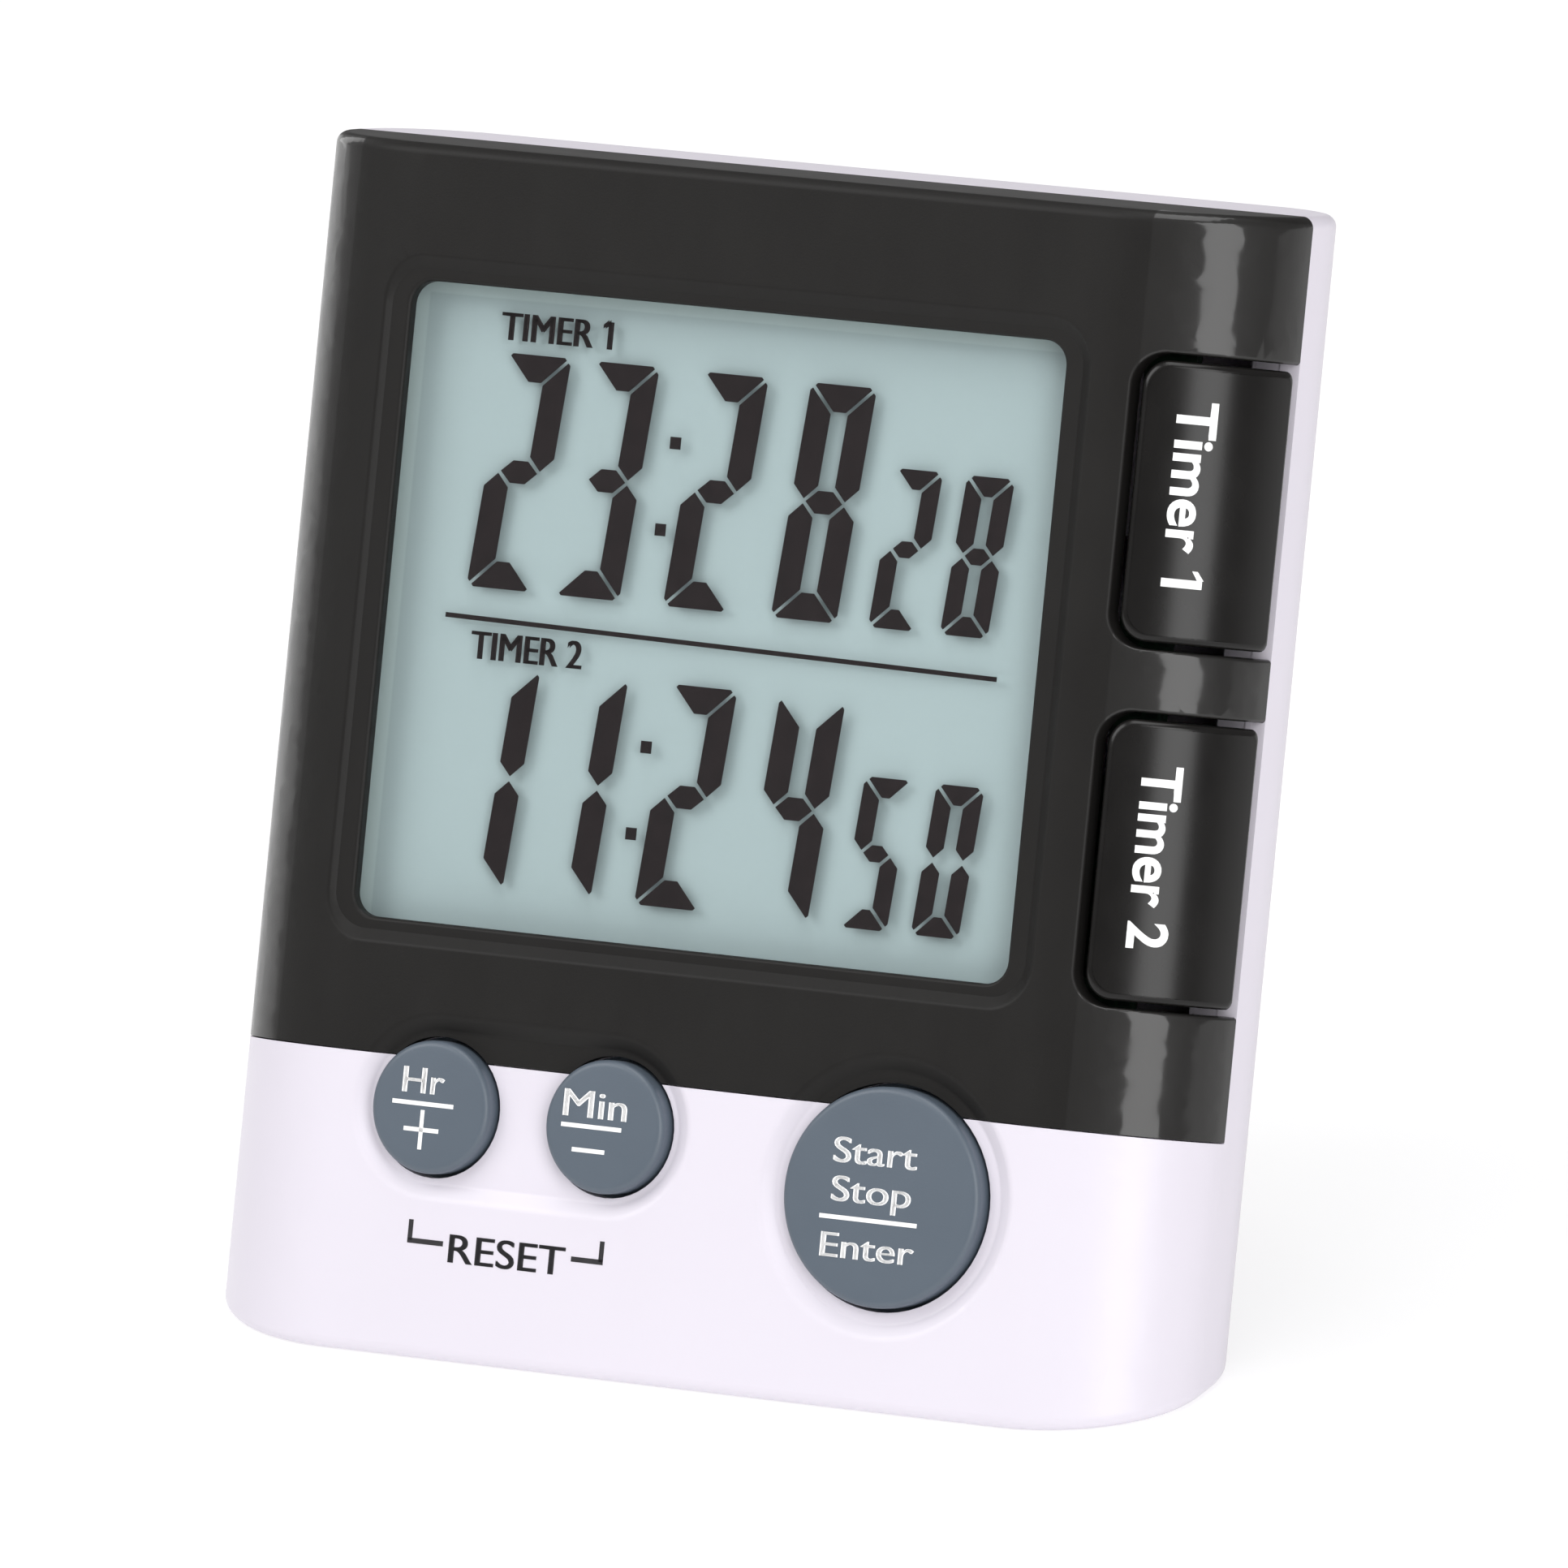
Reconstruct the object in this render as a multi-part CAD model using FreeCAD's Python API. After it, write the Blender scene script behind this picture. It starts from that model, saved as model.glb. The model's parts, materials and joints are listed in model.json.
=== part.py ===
import FreeCAD, Part

# Two-channel lab timer, in millimetres: a white two-shell case with a black wrap-round panel, a display
# window, three round front buttons, two keys wrapped round the right-hand edge, and a folding easel stand.
#
# Everything is drawn in the case's own axes: x to the right, y backwards from the front face, and z up the
# front face from its lower edge. save() then leans each piece back by LEAN, so that the sloping underside
# lies on z = 0 and the middle of the underside is the origin.

import math
import os

from FreeCAD import Placement, Rotation, Vector

# Case
WIDTH = 80.0
HEIGHT = 89.0
THICK = 18.6
LEAN = 21.0             # slope of the underside, and so how far the timer leans back
TOP_SLOPE = 4.2         # slope of the top, rising to the back
PARTING = 9.2           # depth of the joint between the front and rear halves
FRONT_CORNER = (12.0, 9.2)   # half-axes of the front corner's ellipse, across and deep
REAR_CORNER = (7.5, 7.5)
PANEL_WALL = 1.5
CHASSIS_OUT = 1.6       # the chassis lies this far inside the case's skin
CASE_WALL = 3.0         # inner face of the chassis
REAR_WALL = 1.6
LIP_WALL = 0.9          # thickness and reach of the rear case's lip, inside the front case
LIP_GAP = 0.08
RIM_ROUND = 0.9         # rounding of the case's top and bottom rims

# Panel
PANEL_FOOT = 22.4       # height of the line between black panel and white case
SEAM = 0.1
WINDOW = (-28.8, 25.4, 32.2, 79.0)   # left, right, bottom, top
WINDOW_LEDGE = (1.5, 0.9)            # width of the window's ledge: at the sides, at top and bottom
WINDOW_SLOPE = 0.9                   # width of the slope outside the ledge
WINDOW_RIM_DEPTH = 0.6
LEDGE_ROUND = 0.5       # rounding where the slope round the window leaves the face
WINDOW_ROUND = 1.8
LIP_ROUND = 0.3         # rounding of the window's inner lip and of the notches round the side keys

# Front buttons
HOUR = (-20.1, 18.8)
MINUTE = (-5.6, 18.8)
START = (17.6, 16.0)
SMALL_CAP = 4.9
LARGE_CAP = 8.05
CAP_GAP = 0.3
CAP_PROUD = 0.7
CAP_FLANGE = 1.2        # how far a cap's flange reaches past the cap
CAP_BACK = 1.2          # how far a cap reaches in behind the case's wall
CAP_TRAVEL = 0.8
DISH_DEPTH = 0.6
DISH_SLOPE = 1.1        # width of the dish's sloped edge
DISH_ROUND = 1.2        # rounding where the slope leaves the face, and half of it where it meets the floor
SMALL_DISH = 6.7
LARGE_DISH = 10.3
BUTTON_WALL = 2.2       # inner face of the case behind the dishes

# Side keys
KEY_LEFT = 32.0
KEYS = ((58.0, 78.4), (32.0, 52.4))   # bottom and top of each key
KEY_PROUD = 0.3
KEY_ROUND = 2.0
KEY_GAP = 0.5
KEY_SIDE_GAP = 1.0      # the wider gap along the left edge
KEY_TRAVEL = 0.6
KEY_REAR = PARTING - KEY_TRAVEL - 0.3
KEY_FLANGE = 1.2
KEY_TOP_WALL = 1.2      # depth of the hollow under a key's skin
KEY_FLANGE_LAYER = (1.9, 2.9)

# Display and board
GLASS = (-31.7, 28.3, 30.0, 81.2)
LENS = (1.5, 2.3)
LENS_LAP = 1.6          # how far the lens reaches past the window
FRONT_GLASS = (2.5, 3.25)            # the liquid crystal fills the gap between the two glasses
REAR_GLASS = (3.3, 4.1)
REFLECTOR = (4.1, 4.3)
LCD_FRAME = (2.5, 5.0)
LCD_FRAME_WALL = 0.9
BOARD = (5.4, 6.2)
BOARD_MAIN = (-33.4, 33.4, 6.0, 48.0)
BOARD_ARM = (29.4, 33.6, 47.0, 80.0)
BOARD_SCREWS = ((-31.0, 25.5), (31.0, 25.5), (2.0, 9.5))
MEMBRANE = (4.8, 5.4)
DOME_TOP = BUTTON_WALL + CAP_BACK + CAP_TRAVEL + 0.3   # the domes are drawn as they are when pressed
SWITCH_X = 31.2

# Battery bay, across the back above the stand
CELL_RADIUS = 5.2
CELL = (-19.4, 25.1)
CELL_HEIGHT = 73.0
CELL_DEPTH = 11.8
BAY = (-25.6, 25.6, 66.6, 79.4)
BAY_FLOOR = 6.4
BAY_WALL = 1.2
CONTACT_THICK = 0.5
DOOR_THICK = 1.3
DOOR_MARGIN = 1.5       # how far the door overlaps the bay's edge
DOOR_GAP = 0.3

# Stand
STAND_HALF = 15.0
STAND_THICK = 2.6
HINGE = (16.9, 59.0)    # depth and height of the hinge axis
STAND_LENGTH = 50.5
PIN_RADIUS = 0.8
PIN_GAP = 0.06
KNUCKLE = 1.7
RECESS_FLOOR = 14.9
RECESS_GAP = 0.4

# Screws and magnets
CASE_SCREWS = ((-26.0, 11.5), (28.5, 10.4), (-23.0, 85.0), (23.0, 85.0))
BOSS = 2.5
MAGNET = (5.5, 2.4)     # radius and thickness
MAGNET_X = 22.6
MAGNET_Z = 38.0
BUZZER = (0.0, 28.0)
BUZZER_RADIUS = 10.0
BUZZER_BACK = RECESS_FLOOR - 2.2
SOUND_RING = 4.0        # radius of the ring of six sound holes, with a seventh in the middle
SOUND_HOLE = 0.8


def rad(angle):
    return math.radians(angle)


def box(x0, x1, y0, y1, z0, z1):
    return Part.makeBox(x1 - x0, y1 - y0, z1 - z0, Vector(x0, y0, z0))


def rod(x, z, radius, y0, y1):
    """A round bar that runs from front to back."""
    return Part.makeCylinder(radius, y1 - y0, Vector(x, y0, z), Vector(0, 1, 0))


def join(first, *others):
    return first.fuse(list(others)).removeSplitter()


def rounded_wire(x0, x1, z0, z1, radius, y):
    """A rectangle with round corners, standing at depth y."""
    edges = []
    corners = ((x1 - radius, z0 + radius, -90), (x1 - radius, z1 - radius, 0),
               (x0 + radius, z1 - radius, 90), (x0 + radius, z0 + radius, 180))
    ends = []
    for cx, cz, start in corners:
        turns = [rad(start + turn) for turn in (0, 45, 90)]
        points = [Vector(cx + radius * math.cos(turn), y, cz + radius * math.sin(turn)) for turn in turns]
        edges.append(Part.Arc(*points).toShape())
        ends.append((points[0], points[2]))
    for here, after in zip(ends, ends[1:] + ends[:1]):
        edges.append(Part.makeLine(here[1], after[0]))
    return Part.Wire(Part.__sortEdges__(edges))


def rounded_slab(x0, x1, z0, z1, radius, y0, y1):
    face = Part.Face(rounded_wire(x0, x1, z0, z1, radius, y0))
    return face.extrude(Vector(0, y1 - y0, 0))


def arc_of_ellipse(cx, cy, across, deep, start, end):
    ellipse = Part.Ellipse(Vector(cx, cy, 0), across, deep)
    return Part.ArcOfEllipse(ellipse, rad(start), rad(end)).toShape()


def plan_wire(inset):
    """The case's outline from above, set in by inset all round."""
    half = WIDTH / 2 - inset
    across, deep = (size - inset for size in FRONT_CORNER)
    rear_across, rear_deep = (size - inset for size in REAR_CORNER)
    front, back = inset, THICK - inset
    y_front, y_rear = front + deep, back - rear_deep
    x_front, x_rear = half - across, half - rear_across
    edges = [
        Part.makeLine(Vector(-x_front, front, 0), Vector(x_front, front, 0)),
        arc_of_ellipse(x_front, y_front, across, deep, -90, 0),
        Part.makeLine(Vector(half, y_front, 0), Vector(half, y_rear, 0)),
        arc_of_ellipse(x_rear, y_rear, rear_across, rear_deep, 0, 90),
        Part.makeLine(Vector(x_rear, back, 0), Vector(-x_rear, back, 0)),
        arc_of_ellipse(-x_rear, y_rear, rear_across, rear_deep, 90, 180),
        Part.makeLine(Vector(-half, y_rear, 0), Vector(-half, y_front, 0)),
        arc_of_ellipse(-x_front, y_front, across, deep, 180, 270),
    ]
    return Part.Wire(edges)


def body(inset, rim_round=0.0):
    """The whole case as one solid, set in by inset on every side."""
    big = 150.0
    solid = Part.Face(plan_wire(inset)).extrude(Vector(0, 0, 2 * big))
    solid.translate(Vector(0, 0, -big / 2))
    under = box(-big, big, -big, big, -big, inset)
    under.rotate(Vector(0, 0, 0), Vector(1, 0, 0), LEAN)
    over = box(-big, big, -big, big, HEIGHT - inset, 2 * big)
    over.rotate(Vector(0, 0, HEIGHT), Vector(1, 0, 0), TOP_SLOPE)
    solid = solid.cut(under).cut(over)
    if rim_round:
        rims = [edge for face in solid.Faces if abs(face.normalAt(0, 0).z) > 0.5 for edge in face.Edges]
        solid = solid.makeFillet(rim_round, rims)
    return solid


def front_half():
    return box(-60, 60, -5, PARTING, -10, 110)


def rear_half():
    return box(-60, 60, PARTING, 40, -10, 110)


def dish(x0, x1, z, radius):
    """A shallow dish with a sloped edge, drawn out sideways from x0 to x1."""
    floor = radius - DISH_SLOPE
    cones = [Part.makeCone(radius, floor, DISH_DEPTH, Vector(x, 0, z), Vector(0, 1, 0)) for x in (x0, x1)]
    if x0 == x1:
        return cones[0]
    outline = Part.makePolygon([Vector(x0, 0, z - radius), Vector(x0, 0, z + radius),
                                Vector(x0, DISH_DEPTH, z + floor), Vector(x0, DISH_DEPTH, z - floor),
                                Vector(x0, 0, z - radius)])
    middle = Part.Face(outline).extrude(Vector(x1 - x0, 0, 0))
    return join(middle, *cones)


def dishes():
    return [dish(HOUR[0], MINUTE[0], HOUR[1], SMALL_DISH), dish(START[0], START[0], START[1], LARGE_DISH)]


def front_caps():
    return ((HOUR, SMALL_CAP), (MINUTE, SMALL_CAP), (START, LARGE_CAP))


def button_cuts():
    """The holes that the three front buttons need, each wider behind the wall for the cap's flange."""
    cuts = []
    for (x, z), radius in front_caps():
        cuts.append(rod(x, z, radius + CAP_GAP, -1, CASE_WALL + 1))
        cuts.append(rod(x, z, radius + CAP_FLANGE + 0.4, BUTTON_WALL, CASE_WALL + 1))
    return cuts


def key_prism(key, grow, y0, y1):
    """The outline of a side key, grown by grow on every side, from depth y0 to y1."""
    low, high = key
    return rounded_slab(KEY_LEFT - grow, WIDTH, low - grow, high + grow, KEY_ROUND + grow, y0, y1)


def lens_slab(grow, y0, y1):
    left, right, low, high = WINDOW
    lap = LENS_LAP + grow
    return rounded_slab(left - lap, right + lap, low - lap, high + lap, 1.0, y0, y1)


def window_ledge():
    """The sunk ledge round the window, with its sloped edge."""
    left, right, low, high = WINDOW
    side, end = WINDOW_LEDGE
    inner = (left - side, right + side, low - end, high + end)
    outer = [edge + way * WINDOW_SLOPE for edge, way in zip(inner, (-1, 1, -1, 1))]
    corner = WINDOW_ROUND + end
    return Part.makeLoft([rounded_wire(*outer, corner + WINDOW_SLOPE, 0),
                          rounded_wire(*inner, corner, WINDOW_RIM_DEPTH)], True, True)


def window_cut():
    return rounded_slab(*WINDOW, WINDOW_ROUND, 0, PANEL_WALL + 1)


def round_edges(shape, radius, wanted):
    """Rounds those edges whose middle satisfies wanted(x, y, z)."""
    edges = []
    for edge in shape.Edges:
        middle = edge.valueAt((edge.FirstParameter + edge.LastParameter) / 2)
        if wanted(middle.x, middle.y, middle.z):
            edges.append(edge)
    return shape.makeFillet(radius, edges)


def on_dish(x, y, z, depth, setback):
    """Whether a point lies at this depth on the outline of either dish, drawn in by setback."""
    if abs(y - depth) > 0.01:
        return False
    beside = max(HOUR[0] - x, 0.0, x - MINUTE[0])
    small = math.hypot(beside, z - HOUR[1]) - SMALL_DISH + setback
    large = math.hypot(x - START[0], z - START[1]) - LARGE_DISH + setback
    return min(abs(small), abs(large)) < 0.05


def on_ledge(x, y, z):
    left, right, low, high = WINDOW
    side, end = WINDOW_LEDGE[0] + WINDOW_SLOPE, WINDOW_LEDGE[1] + WINDOW_SLOPE
    inside = left - side - 0.05 < x < right + side + 0.05 and low - end - 0.05 < z < high + end + 0.05
    return inside and z > low - end - 0.05 and abs(y) < 0.01 and not (left < x < right and low < z < high)


def on_lip(x, y, z):
    """Whether a point lies on the window's inner lip, or on the case's skin at a side key's notch."""
    left, right, low, high = WINDOW
    near = 0.02
    if abs(y - WINDOW_RIM_DEPTH) < near and left - near < x < right + near:
        return low - near < z < high + near
    across, deep = FRONT_CORNER
    beyond = max(x - (WIDTH / 2 - across), 0.0)
    on_skin = abs(math.hypot(beyond / across, (deep - y) / deep) - 1.0) < 0.01
    by_key = any(bottom - KEY_GAP - near < z < top + KEY_GAP + near for bottom, top in KEYS)
    return on_skin and by_key and x > KEY_LEFT - KEY_SIDE_GAP - near and y < PARTING - LIP_ROUND


def dressed_body():
    """The case as one solid, with its rims rounded and the dishes and window ledge sunk into its face."""
    solid = body(0, RIM_ROUND).cut(dishes() + [window_ledge()])
    solid = round_edges(solid, DISH_ROUND, lambda x, y, z: on_dish(x, y, z, 0.0, 0.0))
    solid = round_edges(solid, DISH_ROUND / 2, lambda x, y, z: on_dish(x, y, z, DISH_DEPTH, DISH_SLOPE))
    return round_edges(solid, LEDGE_ROUND, on_ledge)


def bezel_panel():
    """Black panel, open towards the rear shell, with the window and a notch for each side key."""
    shell = dressed_body().cut(body(PANEL_WALL)).common(front_half())
    panel = shell.common(box(-60, 60, -5, 40, PANEL_FOOT, 110))
    notches = []
    for low, high in KEYS:
        left = KEY_LEFT - KEY_SIDE_GAP
        notches.append(rounded_slab(left, WIDTH, low - KEY_GAP, high + KEY_GAP, KEY_ROUND + KEY_GAP, -1, 20))
    panel = panel.cut([window_cut(), lens_slab(0.1, LENS[0], LENS[1] + 0.2)] + button_cuts() + notches)
    panel = round_edges(panel, LIP_ROUND, on_lip)
    middle = (KEYS[0][0] + KEYS[1][1]) / 2
    rib = body(PANEL_WALL - 0.1).common(box(KEY_LEFT + 1, 60, 2.5, PARTING - 0.5, middle - 0.6, middle + 0.6))
    rib = rib.cut(body(PANEL_WALL + 2.5))
    return join(panel, rib)


def front_case():
    """White front moulding: the skin below the panel, and a chassis that carries panel, display and board."""
    skin = dressed_body().cut(body(CHASSIS_OUT)).common(box(-60, 60, -5, PARTING, -10, PANEL_FOOT - SEAM))
    chassis = body(CHASSIS_OUT).cut(body(CASE_WALL)).common(front_half())
    chassis = chassis.common(box(-60, 60, -5, PARTING, PANEL_FOOT - 4, 110))
    pad_small = join(rod(*HOUR, SMALL_DISH + 0.9, CHASSIS_OUT - 0.2, BUTTON_WALL),
                     rod(*MINUTE, SMALL_DISH + 0.9, CHASSIS_OUT - 0.2, BUTTON_WALL),
                     box(HOUR[0], MINUTE[0], CHASSIS_OUT - 0.2, BUTTON_WALL,
                         HOUR[1] - SMALL_DISH - 0.9, HOUR[1] + SMALL_DISH + 0.9))
    pad_large = rod(*START, LARGE_DISH + 0.5, CHASSIS_OUT - 0.2, BUTTON_WALL)
    pads = [pad.common(body(CHASSIS_OUT - 0.2)) for pad in (pad_small, pad_large)]
    pads = [pad.cut(box(-60, 60, -5, CHASSIS_OUT, PANEL_FOOT - SEAM, 60)) for pad in pads]
    posts = [rod(x, z, 2.1, CHASSIS_OUT - 0.1, BOARD[0]) for x, z in BOARD_SCREWS]
    bosses = [rod(x, z, BOSS, CHASSIS_OUT + 0.1, PARTING + 0.8) for x, z in CASE_SCREWS]
    inside = body(CHASSIS_OUT)
    moulding = join(skin, chassis, *pads, *[post.common(inside) for post in posts + bosses])
    left, right, low, high = GLASS
    cuts = [box(left - 1.2, right + 1.2, -1, 5.2, low - 1.2, high + 1.2)]
    cuts.append(box(right + 1.0, 60, -5, 20, KEYS[1][0] - 1.7, KEYS[0][1] + 1.7))
    cuts += [rod(x, z, 0.72, 2.4, BOARD[0] + 1) for x, z in BOARD_SCREWS]
    cuts += [rod(x, z, 1.02, 3.2, PARTING + 2) for x, z in CASE_SCREWS]
    return moulding.cut(cuts + button_cuts())


def rear_case():
    """White rear shell, with the battery bay, the stand's recess, screw wells and magnet pockets."""
    shell = body(0, RIM_ROUND).cut(body(REAR_WALL)).common(rear_half())
    inner_space = body(CASE_WALL + LIP_WALL)
    lip = body(CASE_WALL + LIP_GAP).cut(inner_space)
    lip = lip.common(box(-60, 60, PARTING - LIP_WALL, PARTING + 1, -10, 110))
    ledge = body(REAR_WALL - 0.2).cut(inner_space)
    ledge = ledge.common(box(-60, 60, PARTING + 0.1, PARTING + 1.3, -10, 110))
    by_keys = box(20, 60, -5, PARTING + 0.1, KEYS[1][0] - 2, KEYS[0][1] + 2)
    lip = join(lip.cut(by_keys), ledge).cut([rod(x, z, BOSS + 0.3, 0, PARTING + 1.1) for x, z in CASE_SCREWS])
    left, right, low, high = BAY
    bay = box(left - BAY_WALL, right + BAY_WALL, BAY_FLOOR - BAY_WALL + 0.4, THICK - REAR_WALL / 2,
              low - BAY_WALL, high + BAY_WALL)
    y, z = HINGE
    recess = recess_box(RECESS_GAP)
    well = box(-STAND_HALF - RECESS_GAP - 1.4, STAND_HALF + RECESS_GAP + 1.4, RECESS_FLOOR - 1.4,
               THICK - REAR_WALL / 2, z - STAND_LENGTH - 2.5, z + 4.6)
    columns = [rod(x, z, 3.1, PARTING + 1.1, THICK - REAR_WALL / 2) for x, z in CASE_SCREWS]
    radius, thick = MAGNET
    pockets = [rod(side * MAGNET_X, MAGNET_Z, radius + 1.3, THICK - thick - 1.0, THICK - REAR_WALL / 2)
               for side in (-1, 1)]
    seat = rod(*BUZZER, BUZZER_RADIUS + 1.3, BUZZER_BACK - 1.0, BUZZER_BACK + 1.0)
    inside = body(REAR_WALL / 2)
    extras = [extra.common(inside) for extra in [bay, well, seat] + columns + pockets]
    moulding = join(shell, lip, *extras)
    cuts = [recess, box(left, right, BAY_FLOOR, THICK + 1, low, high)]
    cuts.append(door_slab(DOOR_GAP, THICK - DOOR_THICK, THICK + 1))
    cuts += [rod(x, z, 2.2, 12.0, THICK + 1) for x, z in CASE_SCREWS]
    cuts += [rod(x, z, 1.15, 5, 13) for x, z in CASE_SCREWS]
    cuts += [rod(side * MAGNET_X, MAGNET_Z, radius + 0.05, THICK - thick, THICK + 1) for side in (-1, 1)]
    cuts.append(rod(*BUZZER, BUZZER_RADIUS + 0.1, RECESS_FLOOR - 4, BUZZER_BACK))
    cuts.append(rod(*BUZZER, BUZZER_RADIUS - 0.8, RECESS_FLOOR - 4, BUZZER_BACK + 0.8))
    ring = [(BUZZER[0] + SOUND_RING * math.cos(rad(turn)), BUZZER[1] + SOUND_RING * math.sin(rad(turn)))
            for turn in range(0, 360, 60)]
    cuts += [rod(*spot, SOUND_HOLE, 10, THICK) for spot in ring + [BUZZER]]
    half_pin = STAND_HALF + 3
    cuts.append(Part.makeCylinder(PIN_RADIUS, 2 * half_pin, Vector(-half_pin, y, z), Vector(1, 0, 0)))
    cuts += [box(x, x + BAY_WALL + 0.4, CELL_DEPTH - 1, CELL_DEPTH + 1, low + 2, low + 3)
             for x in (left - BAY_WALL - 0.2, right - 0.2)]
    return moulding.cut(cuts)


def recess_box(gap):
    y, z = HINGE
    return rounded_slab(-STAND_HALF - gap, STAND_HALF + gap, z - STAND_LENGTH - gap, z + 3.2, 1.0,
                        RECESS_FLOOR, THICK + 1)


def door_slab(grow, y0, y1):
    left, right, low, high = BAY
    margin = DOOR_MARGIN + grow
    return rounded_slab(left - margin, right + margin, low - margin, high + margin, 1.2 + grow, y0, y1)


def battery_door():
    """Lid of the battery bay, with an inner rim that centres it and ridges for the thumb."""
    left, right, low, high = BAY
    lid = door_slab(0, THICK - DOOR_THICK + 0.1, THICK)
    top = THICK - DOOR_THICK + 0.1
    rim = box(left + 0.4, right - 0.4, top - 1.0, top, low + 0.4, high - 0.4)
    rim = rim.cut(box(left + 1.4, right - 1.4, top - 2, top, low + 1.4, high - 1.4))
    cell_room = rod_across(CELL_RADIUS + 0.4, left, right)
    lid = join(lid, rim.cut(cell_room))
    grooves = [box(x - 0.35, x + 0.35, THICK - 0.4, THICK + 1, CELL_HEIGHT - 4, CELL_HEIGHT + 4)
               for x in (-4, -2, 0, 2, 4)]
    return lid.cut(grooves)


def rod_across(radius, x0, x1):
    return Part.makeCylinder(radius, x1 - x0, Vector(x0, CELL_DEPTH, CELL_HEIGHT), Vector(1, 0, 0))


def battery():
    """AAA cell, lying across the case with its plus end to the right."""
    start, end = CELL
    can = rod_across(CELL_RADIUS, start, end - 0.9)
    can = can.makeFillet(0.5, can.Edges)
    return join(can, rod_across(1.9, end - 1.0, end))


def battery_spring():
    """Coil contact at the minus end: a tapering helix that ends on the cell."""
    wire = 0.5
    start = BAY[0] + CONTACT_THICK + wire / 2 + 0.02
    turns, length = 3.5, CELL[0] - start - wire / 2 - 0.05
    spine = Part.makeHelix(length / turns, length, 3.8, -14.0)
    profile = Part.Wire(Part.makeCircle(wire / 2, Vector(3.8, 0, 0), Vector(0, 1, 0)))
    coil = Part.Wire(spine.Edges).makePipeShell([profile], True, True)
    coil.rotate(Vector(0, 0, 0), Vector(0, 1, 0), 90)
    coil.translate(Vector(start, CELL_DEPTH, CELL_HEIGHT))
    return coil


def contact_plate(side):
    """Nickel-plated contact at one end of the bay, with a solder tab that comes out through the end wall."""
    outer = BAY[1] if side > 0 else -BAY[0]
    inner = outer - CONTACT_THICK
    plate = box(inner, outer, CELL_DEPTH - 4, CELL_DEPTH + 4, CELL_HEIGHT - 4.6, CELL_HEIGHT + 4.6)
    plate = plate.makeFillet(1.0, [edge for edge in plate.Edges if edge.BoundBox.XLength > CONTACT_THICK / 2])
    tab = box(inner, outer + BAY_WALL + 0.6, CELL_DEPTH - 0.9, CELL_DEPTH + 0.9, BAY[2] + 2.1, BAY[2] + 2.9)
    contact = join(plate, tab)
    return contact if side > 0 else contact.mirror(Vector(0, 0, 0), Vector(1, 0, 0))


def front_button(place, radius):
    """A round cap with a bevelled edge, and a flange behind the case that keeps it in."""
    x, z = place
    cap = rod(x, z, radius, -CAP_PROUD, BUTTON_WALL + 0.35)
    face = [edge for edge in cap.Edges if edge.BoundBox.YMax < -CAP_PROUD + 0.01 and edge.Length > radius]
    cap = cap.makeChamfer(0.4, face)
    flange = rod(x, z, radius + CAP_FLANGE, BUTTON_WALL + 0.3, BUTTON_WALL + CAP_BACK)
    hollow = rod(x, z, radius - 1.5, 0.8, BUTTON_WALL + 2)
    stem = rod(x, z, 1.6, 0.7, BUTTON_WALL + CAP_BACK)
    return join(join(cap, flange).cut(hollow), stem)


def side_key(key):
    """A key wrapped round the case's edge, hollow behind, with a flange under the panel on three sides."""
    inner, outer = KEY_FLANGE_LAYER[1], KEY_FLANGE_LAYER[0]
    cap = key_prism(key, 0, -2, KEY_REAR).common(body(-KEY_PROUD))
    cap = cap.cut(body(inner))
    hollow = key_prism(key, -KEY_TOP_WALL, -2, KEY_REAR - KEY_TOP_WALL).common(body(KEY_TOP_WALL))
    flange = key_prism(key, KEY_FLANGE, -2, KEY_REAR).common(body(outer)).cut(body(inner))
    flange = flange.cut(key_prism(key, -KEY_TOP_WALL, -2, 7))
    middle = (key[0] + key[1]) / 2
    tongue = box(SWITCH_X - 1.4, KEY_LEFT + 3, 1.0, 3.4, middle - 1.5, middle + 1.5).common(body(outer))
    tongue = tongue.common(key_prism(key, KEY_FLANGE, 1.9, 6))
    return join(cap.cut(hollow), flange, tongue)


def circuit_board():
    """Single-sided board with an arm that runs up beside the display to reach the side keys."""
    left, right, low, high = BOARD_MAIN
    main = rounded_slab(left, right, low, high, 1.5, *BOARD)
    arm = rounded_slab(*BOARD_ARM, 1.0, *BOARD)
    board = join(main, arm)
    holes = [rod(x, z, 0.95, 0, 10) for x, z in BOARD_SCREWS]
    holes += [rod(x, z, BOSS + 0.2, 0, 10) for x, z in CASE_SCREWS]
    return board.cut(holes)


def keypad_membrane():
    """Silicone sheet with a rubber dome under each front button."""
    sheet = rounded_slab(-23.3, 24.5, 12.0, 27.2, 2.0, *MEMBRANE)
    rise = MEMBRANE[0] - DOME_TOP + 0.05
    domes = [Part.makeCone(2.0, 2.8, rise, Vector(x, DOME_TOP, z), Vector(0, 1, 0))
             for x, z in (HOUR, MINUTE, START)]
    return join(sheet, *domes)


def side_switches():
    shapes = []
    for low, high in KEYS:
        middle = (low + high) / 2
        case = rounded_slab(SWITCH_X - 1.4, SWITCH_X + 1.4, middle - 2.2, middle + 2.2, 0.4,
                            BOARD[0] - 0.6, BOARD[0])
        shapes.append(join(case, rod(SWITCH_X, middle, 0.9, BOARD[0] - 0.9, BOARD[0] - 0.5)))
    return Part.makeCompound(shapes)


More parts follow.
